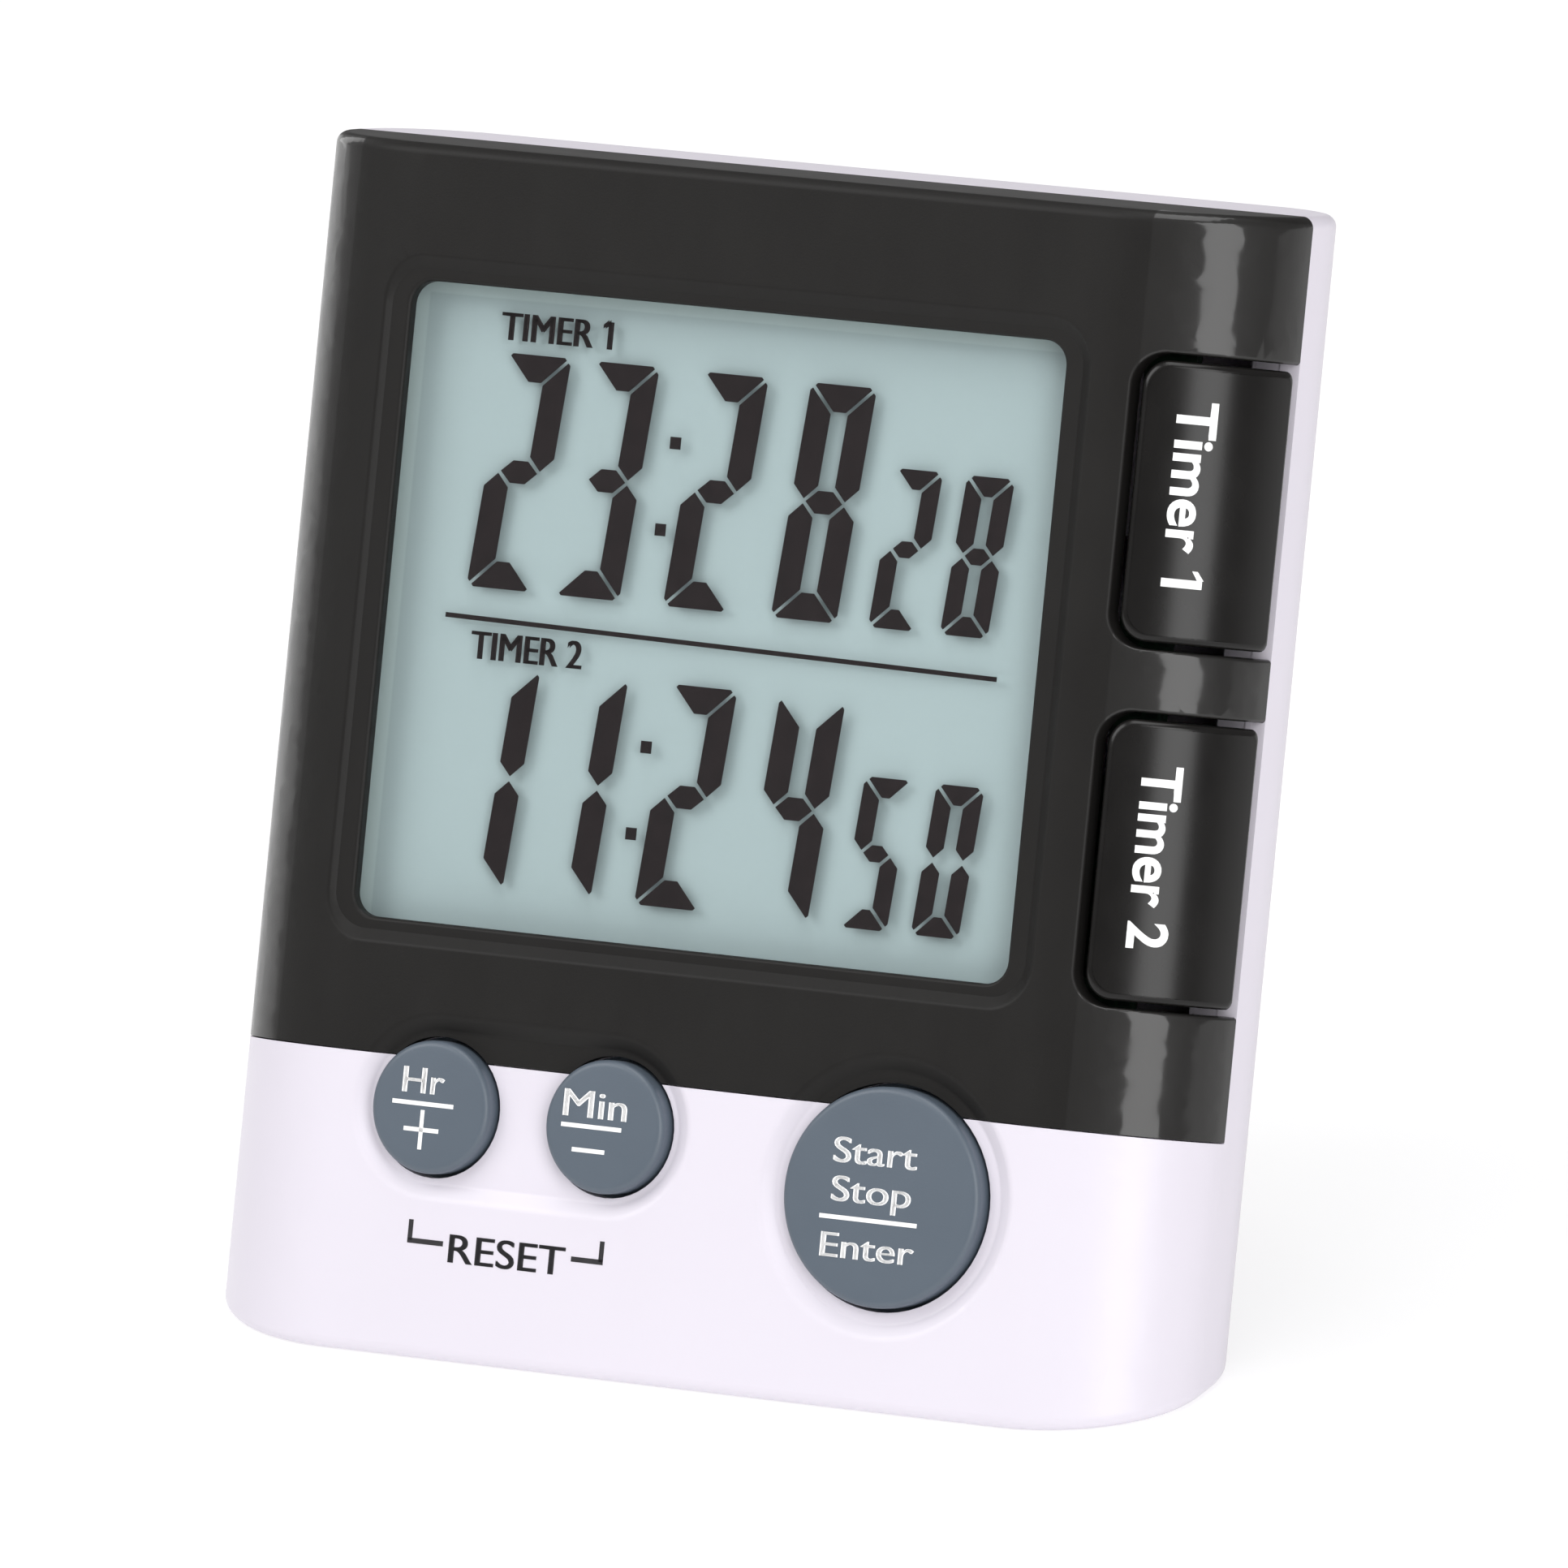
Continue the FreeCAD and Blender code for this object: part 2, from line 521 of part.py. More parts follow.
def lcd_frame():
    left, right, low, high = GLASS
    wall = LCD_FRAME_WALL
    frame = rounded_slab(left - wall, right + wall, low - wall, high + wall, 1.0, *LCD_FRAME)
    inside = box(left - 0.05, right + 0.05, 0, REFLECTOR[1], low - 0.05, high + 0.05)
    back = box(left + 1.2, right - 1.2, 0, 10, low + 4.6, high - 1.2)
    contact = box(left + 3, right - 3, 0, 10, low + 0.8, low + 3.8)
    return frame.cut([inside, back, contact])


def glass(layer, low_extra=0.0):
    left, right, low, high = GLASS
    return box(left, right, *layer, low + low_extra, high)


def zebra_strip():
    left, right, low, high = GLASS
    return box(left + 3.4, right - 3.4, REAR_GLASS[1], BOARD[0], low + 1.2, low + 3.4)


def board_parts():
    """Small surface-mounted resistors and capacitors on the back of the board."""
    sizes = ((-20, 40, 3.2, 1.6, 0.8), (-20, 36, 3.2, 1.6, 0.8), (-14, 31, 2.0, 1.25, 0.9),
             (16, 32, 2.0, 1.25, 0.9), (20, 41, 3.2, 2.5, 1.4))
    return Part.makeCompound([box(x, x + wide, BOARD[1], BOARD[1] + thick, z, z + tall)
                              for x, z, wide, tall, thick in sizes])


def chip_blob():
    """The timer chip, under a drop of black epoxy."""
    radius, height = 4.6, 1.2
    sphere_radius = (radius ** 2 + height ** 2) / (2 * height)
    ball = Part.makeSphere(sphere_radius, Vector(0, BOARD[1] + height - sphere_radius, 38))
    return ball.common(box(-10, 10, BOARD[1], 12, 25, 50))


def crystal():
    can = Part.makeCylinder(1.0, 6.0, Vector(10, BOARD[1] + 1.05, 36), Vector(0, 0, 1))
    return can.makeFillet(0.25, can.Edges)


def piezo_buzzer():
    """A thin brass disc with a smaller ceramic disc bonded to its front."""
    ceramic = rod(*BUZZER, BUZZER_RADIUS - 3.0, BUZZER_BACK - 0.45, BUZZER_BACK - 0.2)
    return join(rod(*BUZZER, BUZZER_RADIUS, BUZZER_BACK - 0.25, BUZZER_BACK), ceramic)


def screw(x, z, shank, head, y_tip, y_seat, head_height):
    """A cross-headed self-tapping screw, driven from behind."""
    body_rod = rod(x, z, shank, y_tip + 0.8, y_seat + 0.1)
    tip = Part.makeCone(shank * 0.4, shank, 0.9, Vector(x, y_tip, z), Vector(0, 1, 0))
    cap = rod(x, z, head, y_seat, y_seat + head_height)
    top = y_seat + head_height - 0.01
    rim = [edge for edge in cap.Edges if edge.BoundBox.YMin > top and edge.Length > head]
    cap = cap.makeFillet(head_height * 0.5, rim)
    slots = [box(x - a, x + a, y_seat + head_height * 0.45, y_seat + 4, z - b, z + b)
             for a, b in ((head * 0.55, head * 0.12), (head * 0.12, head * 0.55))]
    return join(body_rod, tip, cap).cut(slots)


def case_screws():
    return Part.makeCompound([screw(x, z, 1.0, 1.9, 3.6, 12.0, 1.4) for x, z in CASE_SCREWS])


def board_screws():
    return Part.makeCompound([screw(x, z, 0.7, 1.6, 2.8, BOARD[1], 1.0) for x, z in BOARD_SCREWS])


def stand_open_angle():
    """The angle from the case's back at which the stand's round foot rests on the plane of the underside."""
    y, z = HINGE
    foot = STAND_THICK / 2
    height = z * math.cos(rad(LEAN)) - y * math.sin(rad(LEAN))
    return LEAN + math.degrees(math.acos((height - foot) / (STAND_LENGTH - foot)))


def easel_stand():
    """Folding leg, drawn open: a ribbed panel with a hinge knuckle at its top and a rounded foot."""
    y, z = HINGE
    half = STAND_THICK / 2
    leg = rounded_slab(-STAND_HALF, STAND_HALF, z - STAND_LENGTH + half, z - 1.0, 1.2, y - half, y + half)
    foot_start = Vector(-STAND_HALF + 1.2, y, z - STAND_LENGTH + half)
    foot = Part.makeCylinder(half, 2 * STAND_HALF - 2.4, foot_start, Vector(1, 0, 0))
    knuckle = Part.makeCylinder(KNUCKLE, 2 * STAND_HALF, Vector(-STAND_HALF, y, z), Vector(1, 0, 0))
    leg = join(leg, foot, knuckle)
    bore_start = Vector(-STAND_HALF - 1, y, z)
    cuts = [Part.makeCylinder(PIN_RADIUS + PIN_GAP, 2 * STAND_HALF + 2, bore_start, Vector(1, 0, 0))]
    cuts.append(rod(0, z - STAND_LENGTH - 2.0, 5.5, y - 5, y + 5))
    grips = [z - 12 - step * 2.4 for step in range(4)]
    cuts += [box(-10, 10, y + half - 0.35, y + 5, grip, grip + 1.0) for grip in grips]
    leg = leg.cut(cuts)
    leg.rotate(Vector(0, y, z), Vector(1, 0, 0), stand_open_angle())
    return leg


def stand_pin():
    y, z = HINGE
    return Part.makeCylinder(PIN_RADIUS, 2 * STAND_HALF + 5, Vector(-STAND_HALF - 2.5, y, z), Vector(1, 0, 0))


def magnet(side):
    radius, thick = MAGNET
    disc = rod(side * MAGNET_X, MAGNET_Z, radius, THICK - thick, THICK)
    return disc.makeChamfer(0.2, [edge for edge in disc.Edges if edge.Length > radius])


def lead(points, radius, bend):
    """A round wire through the points: straight runs joined by tangent arcs of radius bend."""
    edges = []
    here = points[0]
    for before, corner, after in zip(points, points[1:], points[2:]):
        into = (corner - before).normalize()
        out = (after - corner).normalize()
        half_turn = math.acos(max(-1.0, min(1.0, into.dot(out)))) / 2
        back = bend * math.tan(half_turn)
        start, end = corner - into * back, corner + out * back
        bisector = (out - into).normalize()
        middle = corner + bisector * (bend / math.cos(half_turn) - bend)
        edges += [Part.makeLine(here, start), Part.Arc(start, middle, end).toShape()]
        here = end
    edges.append(Part.makeLine(here, points[-1]))
    start_way = (points[1] - points[0]).normalize()
    profile = Part.Wire(Part.makeCircle(radius, points[0], start_way))
    return Part.Wire(edges).makePipeShell([profile], True, False)


def battery_wires():
    """A lead from each end of the battery bay, down behind the board to its solder pads."""
    leads = []
    for side in (-1, 1):
        beside_tab = Vector(side * 27.9, CELL_DEPTH, BAY[2] + 2.5)
        route = [beside_tab, Vector(side * 27.9, CELL_DEPTH, 60.0), Vector(side * 24.0, 9.0, 50.0),
                 Vector(side * 24.0, 9.0, 43.0), Vector(side * 24.0, BOARD[1] + 0.02, 43.0)]
        leads.append(lead(route, 0.45, 1.5))
    return Part.makeCompound(leads)


def buzzer_wires():
    leads = []
    for side in (-1, 1):
        top = BUZZER_BACK - 0.5
        route = [Vector(side * 4.0, top, 24.0), Vector(side * 4.0, 9.0, 24.0), Vector(side * 10.0, 9.0, 20.0),
                 Vector(side * 10.0, BOARD[1] + 0.02, 20.0)]
        leads.append(lead(route, 0.4, 1.2))
    return Part.makeCompound(leads)


def save(name, shape):
    """Leans the piece back onto the underside, centres the underside on the origin, and writes it."""
    shape = shape.copy()
    lean = Placement(Vector(0, 0, 0), Rotation(Vector(1, 0, 0), -LEAN))
    centre = Placement(Vector(0, -THICK / math.cos(rad(LEAN)) / 2, 0), Rotation())
    shape.Placement = centre.multiply(lean).multiply(shape.Placement)
    shape.exportStep(os.path.join("parts", name + ".step"))
    solids = shape.Solids
    state = "valid" if shape.isValid() else "INVALID"
    print(name, len(solids), "solids", round(shape.Volume, 1), "mm3", state)


os.makedirs("parts", exist_ok=True)
save("front_case", front_case())
save("bezel_panel", bezel_panel())
save("rear_case", rear_case())
save("window_lens", lens_slab(0, *LENS))
save("lcd_front_glass", glass(FRONT_GLASS))
save("lcd_rear_glass", glass(REAR_GLASS))
save("lcd_reflector", glass(REFLECTOR, low_extra=4.0))
save("lcd_frame", lcd_frame())
save("zebra_strip", zebra_strip())
save("circuit_board", circuit_board())
save("board_parts", board_parts())
save("chip_blob", chip_blob())
save("crystal", crystal())
save("keypad_membrane", keypad_membrane())
save("side_switches", side_switches())
save("piezo_buzzer", piezo_buzzer())
save("battery", battery())
save("battery_spring", battery_spring())
save("battery_plate_minus", contact_plate(-1))
save("battery_plate_plus", contact_plate(1))
save("battery_door", battery_door())
save("battery_wires", battery_wires())
save("buzzer_wires", buzzer_wires())
save("case_screws", case_screws())
save("board_screws", board_screws())
save("hour_button", front_button(HOUR, SMALL_CAP))
save("minute_button", front_button(MINUTE, SMALL_CAP))
save("start_stop_button", front_button(START, LARGE_CAP))
save("timer_1_key", side_key(KEYS[0]))
save("timer_2_key", side_key(KEYS[1]))
save("easel_stand", easel_stand())
save("stand_pin", stand_pin())
save("magnet_left", magnet(-1))
save("magnet_right", magnet(1))
print("stand opens to", round(stand_open_angle(), 3), "degrees")
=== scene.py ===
"""Two-channel lab timer: a leaning white case with a black wrap-round panel, a segment display, three round
buttons, two keys on its right-hand edge and a folding stand. Sizes are in millimetres; at() gives metres."""

import json
import math

import bmesh
import bpy
import numpy as np
from mathutils import Matrix, Vector


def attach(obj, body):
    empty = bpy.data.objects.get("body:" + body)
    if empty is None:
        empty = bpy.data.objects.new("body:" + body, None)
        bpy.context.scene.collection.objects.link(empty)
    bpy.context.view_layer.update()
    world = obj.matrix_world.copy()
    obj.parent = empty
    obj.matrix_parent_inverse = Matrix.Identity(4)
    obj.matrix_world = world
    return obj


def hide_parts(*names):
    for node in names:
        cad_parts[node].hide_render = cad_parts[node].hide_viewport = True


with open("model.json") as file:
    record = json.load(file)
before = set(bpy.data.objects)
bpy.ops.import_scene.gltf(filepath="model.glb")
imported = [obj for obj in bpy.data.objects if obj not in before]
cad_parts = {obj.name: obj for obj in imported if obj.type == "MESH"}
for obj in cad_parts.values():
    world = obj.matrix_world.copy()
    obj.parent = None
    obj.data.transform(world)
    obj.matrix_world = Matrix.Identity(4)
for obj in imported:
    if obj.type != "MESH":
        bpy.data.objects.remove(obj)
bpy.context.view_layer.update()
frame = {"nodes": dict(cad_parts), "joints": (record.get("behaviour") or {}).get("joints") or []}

# ---------------------------------------------------------------------------------------------------------
# Case axes. The timer leans back, so everything on it is laid out in the case's own axes: across the face,
# backwards through the case, and up the face from its lower edge. The press of a button gives the backward
# direction, and the magnet face, flush with the back, gives the case's thickness.
MM = 0.001
BACK = np.array(next(joint["axis"] for joint in frame["joints"] if joint["name"] == "hour_press"))
RIGHT = np.array((1.0, 0.0, 0.0))
UP = np.cross(RIGHT, BACK)
AXES = np.stack((RIGHT, BACK, UP), 1)


def node_points(node):
    """A CAD node's vertices, in the frame, in metres."""
    mesh = frame["nodes"][node].data
    points = np.empty(len(mesh.vertices) * 3, np.float32)
    mesh.vertices.foreach_get("co", points)
    return points.reshape(-1, 3).astype(float)


HALF_THICK = (node_points("magnet_left") @ BACK).max()
ORIGIN = np.array((0.0, -HALF_THICK / BACK[1], 0.0))


def at(across, depth, height):
    """Points of the case's own axes, in millimetres, as frame points in metres: origin + share * axis."""
    local = np.stack(np.broadcast_arrays(across, depth, height), -1).astype(float)
    return ORIGIN + MM * local @ AXES.T


def case_box(node):
    """Lowest and highest corner of a CAD node in the case's own axes, in millimetres."""
    local = (node_points(node) - ORIGIN) @ AXES / MM
    return local.min(0), local.max(0)


# ---------------------------------------------------------------------------------------------------------
# Camera. A long lens, to the right of the timer and almost square to its leaning face, tipped a little.
SWING, RISE, TIP = math.radians(27.78), math.radians(1.04), math.radians(5.53)
CAMERA_DISTANCE = 1.79601
AIM = at(1.5205, 8.7984, 44.8707)
LENS = 564.24

side = np.array((math.cos(SWING), math.sin(SWING), 0.0))
ahead = np.array((-math.sin(SWING) * math.cos(RISE), math.cos(SWING) * math.cos(RISE), -math.sin(RISE)))
over = np.cross(side, ahead)
tipped_side = math.cos(TIP) * side + math.sin(TIP) * over
tipped_over = math.cos(TIP) * over - math.sin(TIP) * side
level = np.stack((tipped_side, tipped_over, -ahead), 1)
camera = bpy.data.objects.new("camera", bpy.data.cameras.new("camera"))
bpy.context.scene.collection.objects.link(camera)
camera.data.lens = LENS
camera.data.sensor_width = 36.0
camera.data.clip_end = 20.0
turn = Matrix((AXES @ level).tolist()).to_4x4()
camera.matrix_world = Matrix.Translation(Vector(AIM - CAMERA_DISTANCE * (AXES @ ahead))) @ turn
bpy.context.scene.camera = camera
bpy.context.scene.view_settings.view_transform = "Standard"
bpy.context.scene.cycles.transparent_max_bounces = 24


# ---------------------------------------------------------------------------------------------------------
# Studio. A plain pale floor, a pale surround, and white softboxes: the large one left of the lens lights the
# case, the right-hand one draws a soft band down the rounded edge, and the top one lights the rims.
class Signal:
    """A number or colour inside a material: arithmetic on it adds Math nodes."""

    def __init__(self, recipe, socket):
        self.recipe, self.socket = recipe, socket

    def math(self, operation, *values):
        return self.recipe.node("ShaderNodeMath", {"operation": operation}, dict(enumerate(values)))

    def __add__(self, other):
        return self.math("ADD", self, other)

    def __sub__(self, other):
        return self.math("SUBTRACT", self, other)

    def __rsub__(self, other):
        return self.math("SUBTRACT", other, self)

    def __mul__(self, other):
        return self.math("MULTIPLY", self, other)

    __radd__ = __add__
    __rmul__ = __mul__

    def step(self, low, high):
        """0 below low, 1 above high, and smooth between them."""
        sockets = {"Value": self, "From Min": low, "From Max": high}
        return self.recipe.node("ShaderNodeMapRange", {"interpolation_type": "SMOOTHSTEP"}, sockets)


class Recipe:
    """A material being written, with the surface shader that it ends in."""

    def __init__(self, name, **surface):
        self.material = bpy.data.materials.new(name)
        self.material.use_nodes = True
        self.tree = self.material.node_tree
        self.surface = self.tree.nodes["Principled BSDF"]
        self.put(self.surface, {key.replace("_", " "): value for key, value in surface.items()})
        self.place = self.node("ShaderNodeTexCoord", output="Object")

    def put(self, node, sockets):
        for key, value in sockets.items():
            if isinstance(value, Signal):
                self.tree.links.new(value.socket, node.inputs[key])
            else:
                node.inputs[key].default_value = value

    def node(self, kind, settings=(), sockets=(), output=0):
        """Adds a node: its settings first, then its sockets, and gives one output."""
        made = self.tree.nodes.new(kind)
        for key, value in dict(settings).items():
            setattr(made, key, value)
        self.put(made, dict(sockets))
        return Signal(self, made.outputs[output])

    def noise(self, scale, detail=2.0, stretch=None, rough=0.5):
        """Clouds of the given scale per metre, from 0 to 1, stretched along an axis if asked."""
        place = self.place
        if stretch:
            place = self.node("ShaderNodeMapping", {}, {"Vector": place, "Scale": stretch})
        sockets = {"Vector": place, "Scale": scale, "Detail": detail, "Roughness": rough}
        return self.node("ShaderNodeTexNoise", {}, sockets)

    def along(self, direction, start=0.0):
        """How far the surface point lies along a direction from start, in millimetres."""
        spot = self.node("ShaderNodeVectorMath", {"operation": "DOT_PRODUCT"},
                         {0: self.place, 1: tuple(np.asarray(direction) / MM)}, "Value")
        return spot - start

    def mix(self, share, low, high):
        """Colour low where share is 0, and high where it is 1."""
        first, last = (tone if isinstance(tone, Signal) else (*tone, 1.0) for tone in (low, high))
        return self.node("ShaderNodeMix", {"data_type": "RGBA"}, {0: share, 6: first, 7: last}, 2)

    def bump(self, height, strength, depth=0.00005):
        sockets = {"Height": height, "Strength": strength, "Distance": depth}
        self.put(self.surface, {"Normal": self.node("ShaderNodeBump", {}, sockets)})

    def paint(self, colour, roughness):
        self.put(self.surface, {"Base Color": colour, "Roughness": roughness})
        return self.material


FLOOR_SIZE = 4.0
edge = FLOOR_SIZE / 2
floor_mesh = bpy.data.meshes.new("floor")
floor_corners = [(-edge, -edge, 0), (edge, -edge, 0), (edge, edge, 0), (-edge, edge, 0)]
floor_mesh.from_pydata(floor_corners, [], [(0, 1, 2, 3)])
floor = bpy.data.objects.new("floor", floor_mesh)
bpy.context.scene.collection.objects.link(floor)
pale = Recipe("pale_floor", Emission_Strength=0.55, Emission_Color=(1.0, 1.0, 1.0, 1.0))
pale_tone = pale.mix(pale.noise(3.0), (0.50, 0.50, 0.50), (0.53, 0.53, 0.53))
floor_mesh.materials.append(pale.paint(pale_tone, 0.6))

world = bpy.data.worlds.new("surround")
world.use_nodes = True
world.node_tree.nodes["Background"].inputs["Color"].default_value = (1.0, 1.0, 1.0, 1.0)
world.node_tree.nodes["Background"].inputs["Strength"].default_value = 0.25
bpy.context.scene.world = world


def softbox(name, swing, rise, distance, width, height, watts):
    """An area light facing the timer, at angles round the case's own axes: swing to the right, rise above."""
    swing, rise = math.radians(swing), math.radians(rise)
    flat = math.cos(rise)
    away = AXES @ np.array((math.sin(swing) * flat, -math.cos(swing) * flat, math.sin(rise)))
    lamp = bpy.data.lights.new(name, "AREA")
    lamp.shape = "RECTANGLE"
    lamp.size, lamp.size_y, lamp.energy = width, height, watts
    holder = bpy.data.objects.new(name, lamp)
    middle = Vector(at(0.0, 9.0, 45.0))
    holder.location = middle + Vector(away) * distance
    holder.rotation_euler = Vector(away).to_track_quat("Z", "Y").to_euler()
    bpy.context.scene.collection.objects.link(holder)


softbox("key", -42, 28, 1.1, 0.7, 0.7, 6.0)
softbox("edge_band", 46, 6, 0.9, 0.42, 0.9, 5.6)
softbox("top", 10, 70, 0.9, 0.8, 0.5, 4.0)
softbox("left_rim", -115, 10, 0.8, 0.3, 0.8, 1.2)

# ---------------------------------------------------------------------------------------------------------
# White mouldings: front case, rear case, battery door and stand. Injection-moulded ABS with a satin finish,
# every edge slightly rounded by the tool. The two case halves meet at a line round the sides.
EDGE_ANGLE = math.radians(28)


def link(piece, body):
    bpy.context.scene.collection.objects.link(piece)
    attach(piece, body)
    return piece


def moulding(node, body, finish, edge_round):
    """The node's own skin as one closed mesh: its loose triangles merged, flat areas joined, edges rounded
    over by edge_round millimetres, and normals weighted by area so that flat faces stay flat."""
    skin = bmesh.new()
    skin.from_mesh(frame["nodes"][node].data)
    bmesh.ops.remove_doubles(skin, verts=skin.verts, dist=0.002 * MM)
    bmesh.ops.dissolve_degenerate(skin, edges=skin.edges, dist=0.002 * MM)
    bmesh.ops.dissolve_limit(skin, angle_limit=math.radians(0.2), verts=skin.verts, edges=skin.edges)
    for face in skin.faces:
        face.smooth = True
    for edge in skin.edges:
        edge.smooth = edge.calc_face_angle(0.0) < EDGE_ANGLE
    mesh = bpy.data.meshes.new(node + "_skin")
    skin.to_mesh(mesh)
    skin.free()
    mesh.materials.clear()
    mesh.materials.append(finish)
    piece = bpy.data.objects.new(node + "_skin", mesh)
    if edge_round:
        rounding = piece.modifiers.new("edges", "BEVEL")
        rounding.width, rounding.segments = edge_round * MM, 2
        rounding.limit_method, rounding.angle_limit = "ANGLE", EDGE_ANGLE
        rounding.use_clamp_overlap = False
        rounding.harden_normals = False
    weighting = piece.modifiers.new("flat_faces", "WEIGHTED_NORMAL")
    weighting.keep_sharp = True
    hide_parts(node)
    return link(piece, body)


def white_plastic(name, tint):
    """Satin white ABS: a very fine grain, faint clouds of tone, and slightly duller where it is handled."""
    white = Recipe(name, IOR=1.5)
    clouds, grain = white.noise(60.0, 3.0), white.noise(9000.0, 1.0)
    shade = tuple(0.965 * tone for tone in tint)
    white.bump(grain, 0.10, 0.00003)
    return white.paint(white.mix(clouds, shade, tint), 0.34 + 0.1 * white.noise(300.0, 4.0))


WHITE = (0.71, 0.672, 0.745)
white_case = white_plastic("white_case", WHITE)
moulding("front_case", "case", white_case, 0.0)
moulding("rear_case", "case", white_case, 0.0)
moulding("battery_door", "battery_door", white_case, 0.15)
moulding("easel_stand", "easel_stand", white_case, 0.0)

# ---------------------------------------------------------------------------------------------------------
# Black panel: a separate ABS moulding, wrapped round the case's front and sides above the white foot. Its
# face and top have a matt grain; the rounded edges are polished. They meet along upright lines.
MATT_RIGHT, MATT_LEFT = 31.5, -34.6
black = Recipe("black_panel", IOR=1.5, Specular_IOR_Level=0.22, Coat_Roughness=0.11)
across = black.along(RIGHT)
ends = black.along(UP, case_box("bezel_panel")[1][2] + ORIGIN @ UP / MM).step(-0.7, -0.5)
matt = across.step(MATT_LEFT - 0.1, MATT_LEFT + 0.1) * (1.0 - across.step(MATT_RIGHT - 0.1, MATT_RIGHT + 0.1))
matt = matt.math("MAXIMUM", matt, ends)
pits = black.noise(7000.0, 2.0)
black.bump(pits, 0.22, 0.00003)
clouds = black.noise(250.0, 4.0, (1.0, 1.0, 0.4))
tone = black.mix(clouds, (0.008, 0.0072, 0.0068), (0.012, 0.0112, 0.0105))
black.put(black.surface, {"Coat Weight": 0.6 * (1.0 - matt)})
black_panel = black.paint(tone, 0.45 + 0.08 * clouds)
moulding("bezel_panel", "case", black_panel, 0.0)

# ---------------------------------------------------------------------------------------------------------
# Side keys: glossy black ABS caps wrapped round the case's edge, each over its own switch. Each is a rounded
# oblong bent round the corner's ellipse, with a soft edge all round and a wall that goes in behind it.
CORNER = np.array((12.0, 9.2))       # half-axes of the case's front corner, across and deep
KEY_PROUD = 0.3
KEY_CORNER = 2.0        # radius of the key's corners on the face, and of those at its rear
KEY_REAR_CORNER = 0.6
KEY_EDGE = 0.55
KEY_WALL = 1.9
FLAT_HALF = case_box("bezel_panel")[1][0] - CORNER[0]

key_black = Recipe("black_keys", IOR=1.5, Specular_IOR_Level=0.28)
smears = key_black.noise(400.0, 4.0, (1.0, 1.0, 0.5))
key_black.bump(key_black.noise(5000.0, 2.0), 0.05, 0.00003)
key_tone = key_black.mix(smears, (0.006, 0.0055, 0.0052), (0.010, 0.0092, 0.0088))
black_keys = key_black.paint(key_tone, 0.2 + 0.08 * smears)

corner_turn = np.linspace(0.0, np.pi / 2, 400)
corner_half = CORNER + KEY_PROUD
corner_step = np.hypot(corner_half[0] * np.cos(corner_turn), corner_half[1] * np.sin(corner_turn))
corner_parts = (corner_step[1:] + corner_step[:-1]) / 2 * np.diff(corner_turn)
corner_run = np.concatenate(((0.0,), np.cumsum(corner_parts)))


def round_corner(run, height, sunk):
    """Points of the bent skin: run is the distance round it from the end of the flat face (below 0 on the
    flat), sunk the depth below it. The run gives the angle on the ellipse; the point then moves in along the
    ellipse's normal."""
    angle = np.interp(run, corner_run, corner_turn)
    across = FLAT_HALF + np.minimum(run, 0.0) + corner_half[0] * np.sin(angle)
    depth = CORNER[1] - corner_half[1] * np.cos(angle)
    normal = np.stack((np.sin(angle) / corner_half[0], -np.cos(angle) / corner_half[1]))
    normal /= np.hypot(*normal)
    return at(across - sunk * normal[0], depth - sunk * normal[1], height)


def key_cap(node):
    """The key as a grid: each row is a rounded oblong, its points evenly spread. Rows grow from the middle to
    the edge, turn over its round, and run down the wall; the first and last rows are closed with a face."""
    low, high = case_box(node)
    bottom, top = low[2] + 1.2, high[2] - 1.2
    left = low[0] + 1.2 - FLAT_HALF
    rear = np.interp(math.acos((CORNER[1] - high[1]) / corner_half[1]), corner_turn, corner_run)
    middle = np.array(((left + rear) / 2, (bottom + top) / 2))
    half = np.array(((rear - left) / 2, (top - bottom) / 2))
    turn = np.linspace(0.0, 2 * np.pi, 721)
    radius = np.where(np.cos(turn) < 0.0, KEY_CORNER, KEY_REAR_CORNER)
    corner = np.stack((np.cos(turn), np.sin(turn))) * radius
    loop = np.sign(corner) * (half[:, None] - radius) + corner
    travel = np.concatenate(((0.0,), np.cumsum(np.hypot(*np.diff(loop, axis=1)))))
    even = np.linspace(0.0, travel[-1], 257)[:-1]
    outline = np.stack([np.interp(even, travel, places) for places in loop])
    bend = np.linspace(0.0, np.pi / 2, 8)
    shrink = np.concatenate((np.linspace(0.97, 0.08, 16) * half[0], KEY_EDGE * (1 - np.sin(bend)), (0.0,)))
    sunk = np.concatenate((np.zeros(16), KEY_EDGE * (1 - np.cos(bend)), (KEY_WALL,)))
    rows = np.maximum(1 - shrink[:, None, None] / half[:, None], 0.0) * outline
    points = round_corner(middle[0] + rows[:, 0], middle[1] + rows[:, 1], sunk[:, None]).reshape(-1, 3)
    count = len(even)
    row, step = np.meshgrid(np.arange(len(shrink) - 1), np.arange(count), indexing="ij")
    near, far = row * count + step, row * count + (step + 1) % count
    quads = np.stack((near, near + count, far + count, far), -1).reshape(-1, 4)
    last = (len(shrink) - 1) * count
    ends = [tuple(range(count)), tuple(range(last + count - 1, last - 1, -1))]
    mesh = bpy.data.meshes.new(node + "_cap")
    mesh.from_pydata(points.tolist(), [], quads.tolist() + ends)
    mesh.shade_smooth()
    mesh.set_sharp_from_angle(angle=math.radians(40))
    mesh.materials.append(black_keys)
    piece = bpy.data.objects.new(node + "_cap", mesh)
    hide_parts(node)
    return link(piece, node)


for node in ("timer_1_key", "timer_2_key"):
    key_cap(node)

